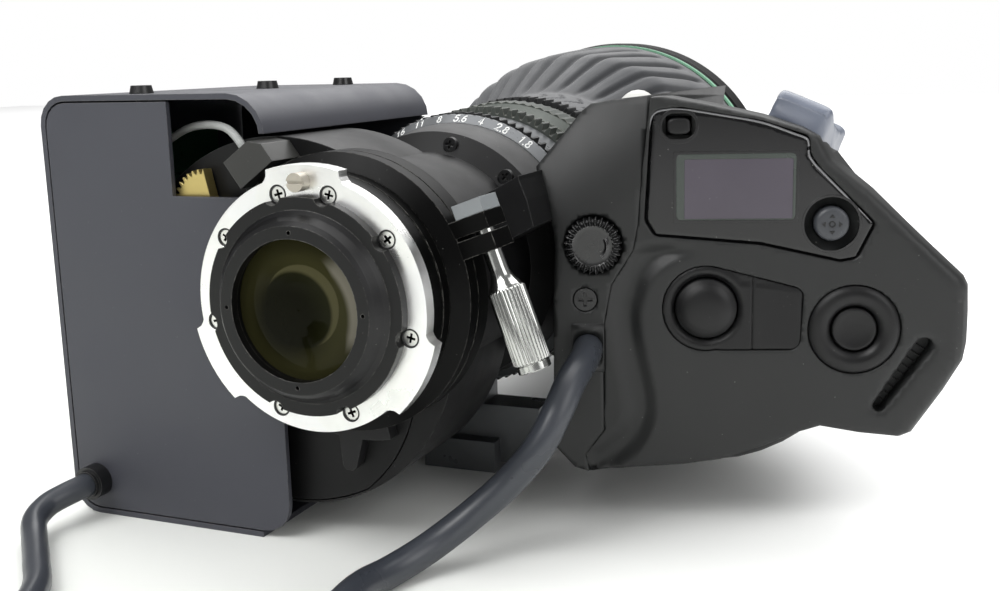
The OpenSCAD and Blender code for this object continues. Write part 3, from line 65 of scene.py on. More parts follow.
def addCamera(s):
    az, el, roll = (math.radians(s[k]) for k in ("azimuth", "elevation", "roll"))
    back = Vector((math.sin(az) * math.cos(el), -math.cos(az) * math.cos(el), math.sin(el)))
    right = Vector((math.cos(az), math.sin(az), 0))
    up = back.cross(right)
    right, up = right * math.cos(roll) + up * math.sin(roll), up * math.cos(roll) - right * math.sin(roll)
    data = bpy.data.cameras.new("camera")
    data.lens, data.sensor_width = s["lens"], s["sensor"]
    data.clip_start, data.clip_end = s["clip"]
    cam = addObject("camera", data)
    turn = Matrix((right, up, back)).transposed().to_4x4()
    cam.matrix_world = Matrix.Translation(Vector(s["place"]) * mm) @ turn
    bpy.context.scene.camera = cam


addCamera(cameraSet)
print("camera placed")


# A colour typed as it shows on screen, 0 to 255, turned into scene light.
def linear(*rgb):
    c = np.array(rgb, float) / 255
    return tuple(np.where(c <= 0.04045, c / 12.92, ((c + 0.055) / 1.055) ** 2.4)) + (1.0,)


# Points closer than this are one, in metres, in a new mesh and in a CAD mesh, and the edge angle of small flat marks
weld, cadWeld, crisp = 1e-7, 2e-6, 20


def shade(mesh, sharp):
    mesh.shade_smooth()
    mesh.set_sharp_from_angle(angle=math.radians(sharp))


def store(bm, mesh):
    bm.to_mesh(mesh)
    bm.free()


# A piece from vertex places and faces. Its normals are recalculated so that they point outwards.
def meshPiece(name, points, faces, sharp=32):
    mesh = bpy.data.meshes.new(name)
    mesh.from_pydata(np.asarray(points, float).tolist(), [], faces)
    bm = bmesh.new()
    bm.from_mesh(mesh)
    bmesh.ops.remove_doubles(bm, verts=bm.verts, dist=weld)
    bmesh.ops.recalc_face_normals(bm, faces=bm.faces)
    store(bm, mesh)
    shade(mesh, sharp)
    return addObject(name, mesh)


# Quads of a grid of points whose rows are closed rings, with the last row joined to the first where it wraps
def gridFaces(rows, columns, wrap, start=0):
    i, j = np.meshgrid(np.arange(rows - (not wrap)), np.arange(columns), indexing="ij")
    i, j = i.ravel(), j.ravel()
    a, b = i * columns + j, i * columns + (j + 1) % columns
    down = (i + 1) % rows * columns
    return (np.stack([a, b, down + (j + 1) % columns, down + j], 1) + start).tolist()


# The same with both end rings filled
def tubeFaces(rows, columns, start=0):
    last = start + (rows - 1) * columns
    ends = [list(range(start, start + columns)), list(range(last, last + columns))]
    return gridFaces(rows, columns, False, start) + ends


# A surface over a grid of points: each row is a ring, and the end rings are filled where caps is true
def skin(name, grid, wrap=False, caps=True, sharp=32):
    rows, columns = grid.shape[:2]
    faces = tubeFaces(rows, columns) if caps and not wrap else gridFaces(rows, columns, wrap)
    return meshPiece(name, grid.reshape(-1, 3), faces, sharp)


# Angles of so many equal steps round a circle
def circle(count):
    return np.arange(count) * 2 * np.pi / count


# Points along a Catmull-Rom curve: the cubic through each pair of points, with the slope of their neighbours.
def smoothPath(points, per):
    p = np.array(points, float)
    q = np.vstack([p[:1], p, p[-1:]])
    t = (np.arange(per) / per)[None, :, None]
    p0, p1, p2, p3 = (q[k:len(q) - 3 + k][:, None] for k in range(4))
    run = (2 * p1 + (p2 - p0) * t + (2 * p0 - 5 * p1 + 4 * p2 - p3) * t ** 2 + (3 * p1 - p0 - 3 * p2 + p3) * t ** 3) / 2
    return np.vstack([run.reshape(-1, 3), p[-1:]])


# Rings round a path: each ring lies square to the path's heading, level with the table.
def tubeGrid(path, radii, sides):
    heading = np.gradient(path, axis=0)
    heading /= np.linalg.norm(heading, axis=1, keepdims=True)
    side = np.cross(heading, [0, 0, 1.0])
    side /= np.maximum(np.linalg.norm(side, axis=1, keepdims=True), 1e-6)
    up = np.cross(side, heading)
    a = circle(sides)
    ring = np.cos(a)[None, :, None] * side[:, None] + np.sin(a)[None, :, None] * up[:, None]
    return path[:, None] + ring * np.asarray(radii, float).reshape(-1, 1, 1)


def runLength(path):
    return float(np.linalg.norm(np.diff(path, axis=0), axis=1).sum())


gripLeadSet = {"diameter": 7.2, "sides": 24, "per": 5, "points": [
    (44.3, 58, -18), (46.1, 51.3, -18), (47.6, 44, -19), (47.2, 35, -22.4), (46, 29, -28), (42.5, 25, -36),
    (35.5, 23, -44.5), (27.5, 19, -52), (20.5, 12, -57.6), (15.4, 3, -60.3), (13, -8, -60.3), (15, -26, -60.3),
    (20, -48, -60.3), (22, -72, -60.3), (17, -96, -58.4), (11, -112, -56.4), (10, -120, -56), (10, -130, -56),
    (10, -140, -56)]}
boxLeadSet = {"diameter": 6.2, "sides": 24, "per": 5, "points": [
    (-79, 22, -54.6), (-79, 14, -54.6), (-79, 11.6, -54.6), (-80.6, 7, -55.4), (-82.4, 2.6, -56.8),
    (-81.4, -3, -58.6), (-76, -9, -60.4),
    (-66, -19, -60.9), (-55, -31, -60.9), (-47, -48, -60.9), (-45, -68, -60.9), (-52, -90, -59.6), (-65, -106, -57),
    (-70, -118, -56), (-70, -128, -56), (-70, -138, -56)]}


def addLead(name, s, node):
    path = smoothPath(s["points"], s["per"]) * mm
    radius = s["diameter"] / 2 * mm
    piece = skin(name, tubeGrid(path, np.full(len(path), radius), s["sides"]))
    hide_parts(node)
    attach(piece, "lens")
    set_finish(piece, "lead_black")
    print(name, "is", round(runLength(path), 3), "m long")
    return piece


gripLead = addLead("gripLeadTube", gripLeadSet, "grip_lead")
boxLead = addLead("boxLeadTube", boxLeadSet, "box_lead")
print("leads laid")

# The control panel's own frame: u across it, depth behind its face and z up, all in mm
panelSet = {"x": 60, "y": 55, "yaw": math.radians(15), "facing": 0.999, "near": 0.06}


def onPanel(u, depth, z):
    u, depth, z = np.broadcast_arrays(*(np.asarray(v, float) for v in (u, depth, z)))
    c, s = math.cos(panelSet["yaw"]), math.sin(panelSet["yaw"])
    return np.stack([panelSet["x"] + u * c - depth * s, panelSet["y"] + u * s + depth * c, z], -1) * mm


def fromPanel(points):
    c, s = math.cos(panelSet["yaw"]), math.sin(panelSet["yaw"])
    x, y = points[:, 0] / mm - panelSet["x"], points[:, 1] / mm - panelSet["y"]
    return x * c + y * s, y * c - x * s, points[:, 2] / mm


def smoothStep(low, high, v):
    t = np.clip((v - low) / (high - low), 0, 1)
    return t * t * (3 - 2 * t)


# Distance in mm from each point (u, z) to a line of points, and the side it lies on: above 0 on the right of its run
def lineDistance(u, z, line):
    line = np.asarray(line, float)
    a, b = line[:-1, None], line[1:, None]
    p = np.stack([u, z], -1)[None]
    run = b - a
    share = np.clip(((p - a) * run).sum(-1) / (run ** 2).sum(-1), 0, 1)
    gap = p - a - share[..., None] * run
    length = np.linalg.norm(gap, axis=-1)
    nearest = length.argmin(0)
    side = run[..., 1] * gap[..., 0] - run[..., 0] * gap[..., 1]
    pick = (nearest, np.arange(len(u)))
    return length[pick], np.where(np.broadcast_to(side, length.shape)[pick] >= 0, 1.0, -1.0)


extraPieces = []


def settle(piece, node, body, slot):
    if node:
        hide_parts(node)
    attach(piece, body)
    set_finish(piece, slot)
    extraPieces.append(piece)
    return piece


# A copy of a CAD node's mesh where it stands, and the same as a bmesh with its doubled points merged
def mergedCopy(name, node):
    mesh = nodes[node].data.copy()
    mesh.name = name
    mesh.transform(nodes[node].matrix_world)
    bm = bmesh.new()
    bm.from_mesh(mesh)
    bmesh.ops.remove_doubles(bm, verts=bm.verts, dist=cadWeld)
    return mesh, bm


# A copy of a CAD node whose face at one depth on the panel is cut finely and pressed inwards by field(u, z), in mm
def carved(name, node, slot, s, field):
    mesh, bm = mergedCopy(name, node)
    out = Vector(onPanel(0, -1, 0) - onPanel(0, 0, 0)).normalized()
    across = Vector(onPanel(1, 0, 0) - onPanel(0, 0, 0)).normalized()
    faces = [f for f in bm.faces if f.normal.dot(out) > panelSet["facing"]
             and abs(fromPanel(np.array([f.calc_center_median()]))[1][0] - s["level"]) < panelSet["near"]]
    geom = faces + list(dict.fromkeys(e for f in faces for e in f.edges))
    geom += list(dict.fromkeys(v for f in faces for v in f.verts))
    cuts = [(onPanel(u, 0, 0), across) for u in s["cutsU"]]
    cuts += [(onPanel(0, 0, z), Vector((0, 0, 1))) for z in s["cutsZ"]]
    for place, normal in cuts:
        geom = bmesh.ops.bisect_plane(bm, geom=geom, dist=weld, plane_co=place, plane_no=normal)["geom"]
    store(bm, mesh)
    points = np.empty(len(mesh.vertices) * 3)
    mesh.vertices.foreach_get("co", points)
    points = points.reshape(-1, 3)
    u, depth, z = fromPanel(points)
    onFace = np.abs(depth - s["level"]) < panelSet["near"]
    points[onFace] = onPanel(u[onFace], depth[onFace] + field(u[onFace], z[onFace]), z[onFace])
    mesh.vertices.foreach_set("co", points.ravel())
    shade(mesh, s.get("sharp", 32))
    print(name, "cut into", len(mesh.polygons), "faces")
    return settle(addObject(name, mesh), node, "lens", slot)


# How far a face drops along its rounded outline
def rimDrop(s, u, z):
    return np.maximum(0, s["edge"] - lineDistance(u, z, s["outline"])[0]) ** 2 * s["edgeDepth"]


# Palm shell: the raised pad ends in a curved lip, and a strip falls away from it towards the seam
palmSet = {
    "level": 0.0, "cutsU": np.concatenate([np.arange(-17, 14, 0.7), np.arange(15, 74, 1.6)]),
    "cutsZ": np.arange(-48, 42, 0.9), "drop": 1.9, "lip": (-0.7, 3.0), "back": (-1.6, -6.5), "backShare": 0.8,
    "fade": (8.6, 4.5), "fadeU": (12.5, 3.0), "edge": 1.5, "edgeDepth": 0.3, "slotEdge": 1.1, "slotDepth": 0.4,
    "curve": [(14, 6.2), (10, 6.4), (5.6, 5.2), (1.7, 3.1), (-1.2, -0.4), (-2.6, -3.7), (-3.9, -8.6), (-3.8, -13.5),
        (-2.7, -20), (-1.4, -25.9), (-0.5, -31), (-0.7, -36), (-3, -41.2), (-6.8, -45.1), (-10, -47.4)],
    "outline": [(4, 41.7), (13, 39.9), (25.5, 36.9), (34.5, 34), (38.6, 31.9), (40.2, 28.9), (41.8, 26.2),
        (50.3, 19.2), (62.8, 6.9), (71.4, -1.4), (72.5, -3.6), (72.8, -10), (72.8, -17), (72.2, -20.6), (68.2, -27.8),
        (61.4, -38.2), (59, -39.3), (50, -38.5), (41, -37), (36, -38.6), (28, -42.2), (17.4, -45.9), (8, -47.4),
        (-4, -48.4), (-14.6, -49.4)], "slot": [(64.3, -17.2, 2.1), (54.5, -31.8, 1.5)], "lowFade": (0, -4), "per": 6}


def palmField(u, z):
    s = palmSet
    curve = smoothPath([(a, b, 0) for a, b in s["curve"]], s["per"])[:, :2]
    length, side = lineDistance(u, z, curve)
    away = -length * side
    fade = smoothStep(*s["fade"], z) * np.maximum(smoothStep(*s["fadeU"], u), smoothStep(*s["lowFade"], z))
    drop = s["drop"] * (1 - smoothStep(*s["lip"], away)) * fade
    drop *= 1 - s["backShare"] * smoothStep(-s["back"][0], -s["back"][1], -away)
    top, low = (np.array(v) for v in s["slot"])
    gap = lineDistance(u, z, [top[:2], low[:2]])[0]
    run = (low - top)[:2]
    along = np.clip(((u - top[0]) * run[0] + (z - top[1]) * run[1]) / (run ** 2).sum(), 0, 1)
    mouth = np.maximum(0, s["slotEdge"] - (gap - top[2] - along * (low - top)[2]))
    return np.maximum(drop, 0) + rimDrop(s, u, z) + mouth ** 2 * s["slotDepth"]


carved("palmShell", "grip_shell", "grip_plastic", palmSet, palmField)

# Drive housing: its face rolls back towards the top left corner
driveSet = {
    "level": 0.0, "cutsU": np.arange(-27, 2, 1.4), "cutsZ": np.arange(-48, 43, 1.4), "corner": (-7.5, 13.5),
    "heading": (-0.62, 0.785), "roll": 0.0125, "edge": 1.0, "edgeDepth": 0.35, "sharp": 40,
    "outline": [(-24.2, -41.6), (-23, -31.3), (-22.7, -6.2), (-22.1, 6.3), (-22.5, 11), (-24.7, 19.4),
        (-26.6, 23.8), (-26.9, 25.6), (-15.6, 38.8), (-13.6, 40.3), (-9.2, 41.1), (0.6, 42.2)]}


def driveField(u, z):
    s = driveSet
    past = np.maximum(0, (u - s["corner"][0]) * s["heading"][0] + (z - s["corner"][1]) * s["heading"][1])
    return s["roll"] * past ** 2 + rimDrop(s, u, z)


carved("driveShell", "drive_housing", "grip_plastic", driveSet, driveField)

# Record plate: a funnel round the button, a rounded edge and a split line before its square end
plateSet = {
    "level": 0.0, "cutsU": np.concatenate([np.arange(3, 24.0, 0.55), [24.2, 24.45, 24.6, 24.75, 25.0],
        np.arange(25.6, 37, 1.0)]), "cutsZ": np.arange(-19, 3, 0.55), "centre": (13.8, -8.3), "funnel": (8.9, 7.5),
    "funnelDepth": 1.0, "split": 24.6, "splitHalf": 0.22, "splitDepth": 0.35, "edge": 0.8, "edgeDepth": 0.5,
    "right": 36.4, "top": -3.6, "bottom": -18.2, "outer": 10.3, "lowered": 0.12, "roundTo": 3,
    "slopes": (0.11, 0.02), "endFrom": 30, "far": 20}


def plateField(u, z):
    s = plateSet
    r = np.hypot(u - s["centre"][0], z - s["centre"][1])
    funnel = smoothStep(*s["funnel"], r) * s["funnelDepth"]
    split = np.maximum(0, 1 - np.abs(u - s["split"]) / s["splitHalf"]) * s["splitDepth"]
    right = s["right"] - u
    tongue = np.minimum(s["top"] - z + s["slopes"][0] * right, z - s["bottom"] + s["slopes"][1] * right)
    tongue = np.minimum(np.maximum(s["outer"] - r, tongue), right + s["far"] * (u < s["endFrom"]))
    inside = np.where(u < s["centre"][0] + s["roundTo"], s["outer"] - r, tongue)
    rim = np.maximum(0, s["edge"] - np.maximum(inside, 0))
    return funnel + split + rim ** 2 * s["edgeDepth"] + s["lowered"] * (u > s["split"])


carved("recordPlate", "record_plate", "button_black", plateSet, plateField)

# Display panel: a glossy face with a rounded edge that catches the light
displaySet = {
    "level": 0.3, "cutsU": np.arange(-1, 54, 0.45), "cutsZ": np.arange(2.4, 40, 0.45), "sharp": 50,
    "edge": 0.95, "edgeDepth": 0.95,
    "outline": [(0.9, 38.9), (8, 39.3), (26, 35.9), (36.9, 32.2), (37.2, 28), (39.5, 24.8), (52.4, 12), (48.4, 3.6),
                (44.5, 2.9), (26.2, 7.1), (1.6, 9.2), (-0.7, 13), (0.9, 38.9)]}

carved("displayPanel", "display_panel", "display_gloss", displaySet, lambda u, z: rimDrop(displaySet, u, z))

# Lip along the panel's top edge, coloured paler than the panel: a painted highlight on top of the light its round
# catches
lipSet = {
    "run": [(-0.15, 30), (0.2, 34), (0.75, 36.8), (1.7, 38.1), (3.6, 38.75), (8, 38.85), (17, 37.3), (26, 35.5),
        (33, 32.95), (36.0, 31.75), (36.75, 30.6), (36.85, 28.2), (37.6, 26.6), (39.3, 24.6), (46, 17.7), (51.4, 12.2)],
    "depth": 0.5, "radius": 0.3, "per": 6, "tip": 0.15, "taper": 8, "sides": 10}


def addLip(s):
    path = smoothPath([(u, 0, z) for u, z in s["run"]], s["per"])
    path = onPanel(path[:, 0], s["depth"], path[:, 2])
    fromEnd = np.minimum(np.arange(len(path)), np.arange(len(path))[::-1])
    radii = s["radius"] * mm * np.minimum(1, s["tip"] + fromEnd / s["taper"])
    settle(skin("displayLip", tubeGrid(path, radii, s["sides"])), None, "lens", "display_gloss")


addLip(lipSet)


# A turned piece on the panel: profile rows of radius and depth in mm, changed by shape(radius, depth, angle)
def panelTurned(name, centre, profile, node, body, sides=96, shape=None, scale=(1, 1), wrap=False, sharp=40):
    r, depth = (np.repeat(v[:, None], sides, 1) for v in np.array(profile, float).T)
    angle = np.repeat(circle(sides)[None], len(r), 0)
    if shape:
        r, depth = shape(r, depth, angle)
    grid = onPanel(centre[0] + r * scale[0] * np.cos(angle), depth, centre[1] + r * scale[1] * np.sin(angle))
    return settle(skin(name, grid, wrap=wrap, caps=False, sharp=sharp), node, body, "button_black")


# Points along a profile, rounded at its inner corners by a smooth curve
def softProfile(points, per=5):
    run = smoothPath([(a, b, 0) for a, b in points], per)[:, :2]
    run[:, 0] = np.maximum(run[:, 0], 0)
    return run


recordSet = {
    "centre": (13.8, -8.3), "top": [(0, -2.15), (2.4, -2.05), (4.4, -1.65), (5.8, -0.95), (6.6, -0.3), (7.15, 0.25),
        (7.3, 0.9)]}
auxRingSet = {
    "centre": (48.2, -13.2), "run": [(5.55, 1.5), (5.55, 0.75), (5.9, 0.1), (6.7, -0.6), (7.9, -0.98), (9.1, -0.85),
        (10.0, -0.35), (10.55, 0.3), (10.6, 0.8), (10.6, 1.5)]}
auxKeySet = {
    "centre": (48.2, -13.2), "top": [(0, 0.62), (1.6, 0.58), (3.2, 0.36), (4.2, 0.08), (4.75, 0.05), (5.1, 0.35),
        (5.2, 0.8)]}
menuSet = {
    "centre": (42.4, 11.9), "top": [(0, -0.6), (1.4, -0.66), (2.6, -0.64), (3.3, -0.5), (3.8, -0.1), (4, 0.5)]}
displayKeySet = {
    "centre": (7.2, 35.0), "top": [(0, -0.3), (0.55, -0.28), (0.8, -0.2), (0.93, 0.02), (1, 0.4)],
    "scale": (2.7, 1.95), "power": 3.1746031746}
keyFoot = 4.0


# A key of the panel: its rounded face, then straight sides down to a flat foot
def addKey(name, node, s, **more):
    foot = [(s["top"][-1][0], keyFoot), (0, keyFoot)]
    panelTurned(name, s["centre"], np.vstack([softProfile(s["top"]), foot]), node, node, **more)


# An outline between an ellipse and a rectangle: the radius grows towards the corners
def squareShape(r, depth, angle):
    n = displayKeySet["power"]
    return r / (np.abs(np.cos(angle)) ** n + np.abs(np.sin(angle)) ** n) ** (1 / n), depth


addKey("recordButton", "record_button", recordSet)
addKey("auxButton", "aux_button", auxKeySet)
addKey("menuKey", "menu_key", menuSet)
panelTurned("auxRing", auxRingSet["centre"], softProfile(auxRingSet["run"]), "aux_ring", "lens", wrap=True)
addKey("displayButton", "display_button", displayKeySet, shape=squareShape, scale=displayKeySet["scale"])

# Knob: radial ridges round a sunken middle that carries a raised crescent as its index
knobSet = {
    "centre": (-12.9, 7.3), "ridges": 28, "run": [(0, -2.35), (2.6, -2.35), (2.8, -2.35), (3.0, -2.35),
        (3.3, -2.35), (3.6, -2.35), (3.8, -2.35), (4.5, -2.35), (4.8, -2.45), (5.0, -2.8), (5.3, -2.98), (5.8, -3.0),
        (6.3, -2.9), (6.7, -2.6), (6.9, -2.1), (6.9, -1.0), (6.9, 0.6), (6.75, 1.15), (0, 1.15)], "cut": 0.75,
    "notch": 0.5, "crescent": (3.3, 0.45, 0.4), "span": (-0.9, 0.55), "per": 14, "power": 0.7, "rim": (4.7, 5.4),
    "front": (-0.6, -2.4), "foot": 1.1, "sharp": 46}


def knobShape(r, depth, angle):
    s = knobSet
    valley = (0.5 + 0.5 * np.cos(angle * s["ridges"])) ** s["power"]
    rim = smoothStep(*s["rim"], r) * (depth < s["foot"])
    front = rim * smoothStep(*s["front"], depth)
    place, half, rise = s["crescent"]
    turn = (angle + np.pi) % (2 * np.pi) - np.pi
    mark = np.maximum(0, 1 - np.abs(r - place) / half) * (turn > s["span"][0]) * (turn < s["span"][1]) * (depth < 0)
    return r - rim * valley * s["notch"], depth + front * valley * s["cut"] - mark * rise


panelTurned("indexKnob", knobSet["centre"], knobSet["run"], "knob", "knob",
            sides=knobSet["ridges"] * knobSet["per"], shape=knobShape, sharp=knobSet["sharp"])


# A flat closed band between two outlines of the same count on the panel, from one depth to another
def panelBand(name, outer, inner, depths, body, slot, sharp=25):
    rows = [(outer, depths[1]), (outer, depths[0]), (inner, depths[0]), (inner, depths[1])]
    grid = np.stack([onPanel(loop[:, 0], depth, loop[:, 1]) for loop, depth in rows])
    return settle(skin(name, grid, wrap=True, sharp=sharp), None, body, slot)


# Points round a rectangle with rounded corners
def roundedBox(centre, width, height, radius, per=8):
    a = np.arange(per + 1) / per * np.pi / 2
    loop = []
    for i, (sx, sz) in enumerate(((1, 1), (-1, 1), (-1, -1), (1, -1))):
        turn = a + i * np.pi / 2
        loop.append(np.stack([centre[0] + sx * (width / 2 - radius) + radius * np.cos(turn),
                              centre[1] + sz * (height / 2 - radius) + radius * np.sin(turn)], 1))
    return np.vstack(loop)


windowSet = {
    "centre": (20.4, 20.7), "outer": (27.5, 15.5, 1.2), "inner": (24.9, 14.0, 0.4), "depths": (0.22, 0.5),
    "mask": (28.9, 16.9, 0.3), "maskDepths": (0.2, 0.5), "shift": (0.6, -0.45)}


def addWindow(s):
    centre = s["centre"]
    outer = roundedBox(centre, *s["outer"])
    inner = roundedBox((centre[0] + s["shift"][0], centre[1] + s["shift"][1]), *s["inner"])
    panelBand("windowFrame", outer, inner, s["depths"], "lens", "window_grey")
    panelBand("windowMask", roundedBox(centre, *s["mask"]), outer, s["maskDepths"], "lens", "display_gloss")


addWindow(windowSet)

# Smooth edges of the two wells in the display panel: centre, outer and inner box
wellSet = {"keyWell": ((7.2, 35.0), (9.3, 8.3, 4.1), (7.7, 5.9, 2.7)),
           "menuWell": ((42.4, 11.9), (13.7, 13.7, 6.8), (12.5, 12.5, 6.2))}
wellDepths = (0.24, 1.3)
for name, (centre, outer, inner) in wellSet.items():
    panelBand(name, roundedBox(centre, *outer), roundedBox(centre, *inner), wellDepths, "lens", "display_gloss")

# Raised marks on the menu key: four arrowheads round a small ring
menuMarkSet = {"reach": 2.35, "length": 0.8, "half": 0.62, "depths": (-0.86, -0.55), "ring": (0.75, 0.5), "sides": 24}


def addMenuMarks(s):
    centre = np.array(menuSet["centre"])
    points, faces = [], []
    for turn in circle(4):
        along, side = np.array([np.cos(turn), np.sin(turn)]), np.array([-np.sin(turn), np.cos(turn)])
        foot = centre + along * (s["reach"] - s["length"])
        loop = np.stack([centre + along * s["reach"], foot + side * s["half"], foot - side * s["half"]])
        faces += tubeFaces(2, 3, len(points))
        for depth in s["depths"]:
            points += onPanel(loop[:, 0], depth, loop[:, 1]).tolist()
    settle(meshPiece("menuArrows", points, faces, crisp), None, "menu_key", "button_black")
    a = circle(s["sides"])
    ring = np.stack([np.cos(a), np.sin(a)], 1)
    outer, inner = (centre + ring * r for r in s["ring"])
    panelBand("menuRing", outer, inner, s["depths"], "menu_key", "button_black")


addMenuMarks(menuMarkSet)

# Liner of the strap slot: a shallow dark tray with cross ribs
linerSet = {
    "top": (64.3, -17.2, 1.98), "low": (54.5, -31.8, 1.37), "depths": (5.4, 6.2), "ribs": 9, "ribHalf": 0.22,
    "ribTop": 4.6, "ribTaper": 0.6, "clear": 0.1, "hole": 0.02, "arc": 12}


def addSlotLiner(s):
    top, low = (np.array(s[k]) for k in ("top", "low"))
    along = (low - top)[:2] / np.linalg.norm((low - top)[:2])
    side = np.array([-along[1], along[0]])
    a = np.arange(s["arc"] + 1) / s["arc"] * np.pi
    loop = np.vstack([low[:2] + low[2] * (np.sin(t) * along + np.cos(t) * side) for t in a]
                     + [top[:2] + top[2] * (-np.sin(t) * along - np.cos(t) * side) for t in a])
    middle = (top[:2] + low[:2]) / 2
    panelBand("slotLiner", loop, middle + (loop - middle) * s["hole"], s["depths"], "lens", "grip_plastic")
    points, faces = [], []
    for k in range(s["ribs"]):
        share = (k + 0.5) / s["ribs"]
        centre, half = top[:2] + (low - top)[:2] * share, top[2] + (low - top)[2] * share - s["clear"]
        faces += tubeFaces(2, 4, len(points))
        for depth, width in ((s["depths"][0] + s["clear"], s["ribHalf"]), (s["ribTop"], s["ribHalf"] * s["ribTaper"])):
            for su, sv in ((1, 1), (1, -1), (-1, -1), (-1, 1)):
                p = centre + side * half * su + along * width * sv
                points.append(onPanel(p[0], depth, p[1]))
    settle(meshPiece("slotRibs", points, faces, crisp), None, "lens", "grip_plastic")


addSlotLiner(linerSet)
print("keys shaped")


# Points round the optical axis, in metres, from their radius and place along it in mm and their angle from the top
def onBarrel(radius, y, turn):
    return np.stack(np.broadcast_arrays(radius * np.sin(turn), y, radius * np.cos(turn)), -1) * mm


# Rubber grip: broad slanted ribs with narrow valleys, and short marks where they begin
rubberSet = {
    "ribs": 40, "columns": 40 * 24, "rows": 84, "start": 134.3, "end": 215.9, "turn": 24,
    "y": (134, 150, 173, 200, 215.7), "inner": (36.5, 38, 49.4, 52.3, 52.6), "thick": (2, 2.4, 3.2, 2.2, 2.2),
    "depth": 2.0, "rise": (148, 158), "fall": (214.5, 207), "wave": 0.32, "markY": (138.5, 147.5), "markDepth": 0.9,
    "markLean": 0.44, "run": 82, "waves": 9, "blur": 7, "crest": (0.45, 0.55, 0.1), "lean": 0.5, "valleyLean": 0.35,
    "valleyPower": 7, "markSpan": (0.72, 0.95), "least": 0.2, "gap": 0.12, "backRows": [-1, 62, 40, 16, 0],
    "sharp": 60}


def addRubber(s):
    y = np.linspace(s["start"], s["end"], s["rows"])
    inner, thick = np.interp(y, s["y"], s["inner"]), np.interp(y, s["y"], s["thick"])
    padded = np.pad(inner + thick, s["blur"] // 2, "edge")
    outer = np.minimum(np.convolve(padded, np.ones(s["blur"]) / s["blur"], "valid"), inner + thick)
    y, inner, outer = y[:, None], inner[:, None], outer[:, None]
    share = (y - s["y"][0]) / s["run"]
    phase = circle(s["columns"]) * s["ribs"] + s["wave"] * np.sin(share * s["waves"])
    broad = 0.5 - 0.5 * np.cos(phase + s["lean"] * np.sin(phase))
    narrow = 1 - (0.5 + 0.5 * np.cos(phase + s["valleyLean"])) ** s["valleyPower"]
    crest = s["crest"][0] * broad + s["crest"][1] * narrow + s["crest"][2] * np.cos(phase / 2)
    swell = smoothStep(*s["rise"], y) * smoothStep(*s["fall"], y)
    low = s["depth"] * (1 - np.clip(crest, 0, 1)) * swell
    first, last = s["markY"]
    marks = 1 - np.abs(np.sin(phase / 2 + s["markLean"] * np.abs(y - (first + last) / 2)))
    window = smoothStep(first, first + 1, y) * smoothStep(last, last - 1, y)
    low += s["markDepth"] * smoothStep(*s["markSpan"], marks) * window
    turn = circle(s["columns"]) + np.radians(s["turn"]) * share
    back = s["backRows"]
    grid = np.concatenate([onBarrel(np.maximum(outer - low, inner + s["least"]), y, turn),
                           onBarrel(inner[back] + s["gap"], y[back], turn[back])])
    return settle(skin("rubberRibs", grid, wrap=True, sharp=s["sharp"]), "rubber_grip", "focus_ring", "rubber")


addRubber(rubberSet)
print("rubber ribbed")

# Plain numbers on the iris dial, drawn as pen strokes in a box one unit high
strokes = {
    "1": [(0.12, 0.76), (0.34, 1.0), (0.34, 0.0)],
    "2": [(0.02, 0.74), (0.06, 0.9), (0.18, 0.99), (0.32, 1.0), (0.48, 0.93), (0.54, 0.76), (0.48, 0.58), (0.0, 0.0),
          (0.56, 0.0)],
    "4": [(0.42, 0.0), (0.42, 1.0), (0.0, 0.28), (0.6, 0.28)],
    "5": [(0.52, 1.0), (0.1, 1.0), (0.05, 0.56), (0.2, 0.64), (0.36, 0.64), (0.5, 0.52), (0.55, 0.32), (0.49, 0.12),
          (0.34, 0.0), (0.18, 0.0), (0.04, 0.1), (0.0, 0.22)],
    "6": [(0.46, 0.96), (0.28, 0.88), (0.12, 0.66), (0.03, 0.36), (0.06, 0.14), (0.2, 0.01), (0.36, 0.0), (0.5, 0.1),
          (0.56, 0.3), (0.5, 0.48), (0.36, 0.57), (0.2, 0.54), (0.07, 0.42)],
    "8": [(0.29, 0.54), (0.13, 0.62), (0.07, 0.77), (0.14, 0.92), (0.29, 1.0), (0.44, 0.92), (0.51, 0.77),
          (0.45, 0.62), (0.29, 0.54), (0.1, 0.44), (0.02, 0.26), (0.1, 0.08), (0.29, 0.0), (0.48, 0.08),
          (0.56, 0.26), (0.48, 0.44), (0.29, 0.54)],
    ".": [(0.06, 0.0), (0.06, 0.05)],
}
numberSet = {
    "marks": [("16", -27.2), ("11", -17.0), ("8", -7.1), ("5.6", 2.9), ("4", 12.6), ("2.8", 22.6), ("1.8", 34.4)],
    "height": 2.05, "pen": 0.17, "start": 76.65, "spacing": 0.8, "dotSpacing": 0.32, "rise": 0.05,
    "cone": ((76.12, 34.92), (79.2, 37.15)), "foot": ((79.2, 35.3), (76.3, 34.8)), "sides": 180, "overrun": 0.7,
    "bearing": 0.1}


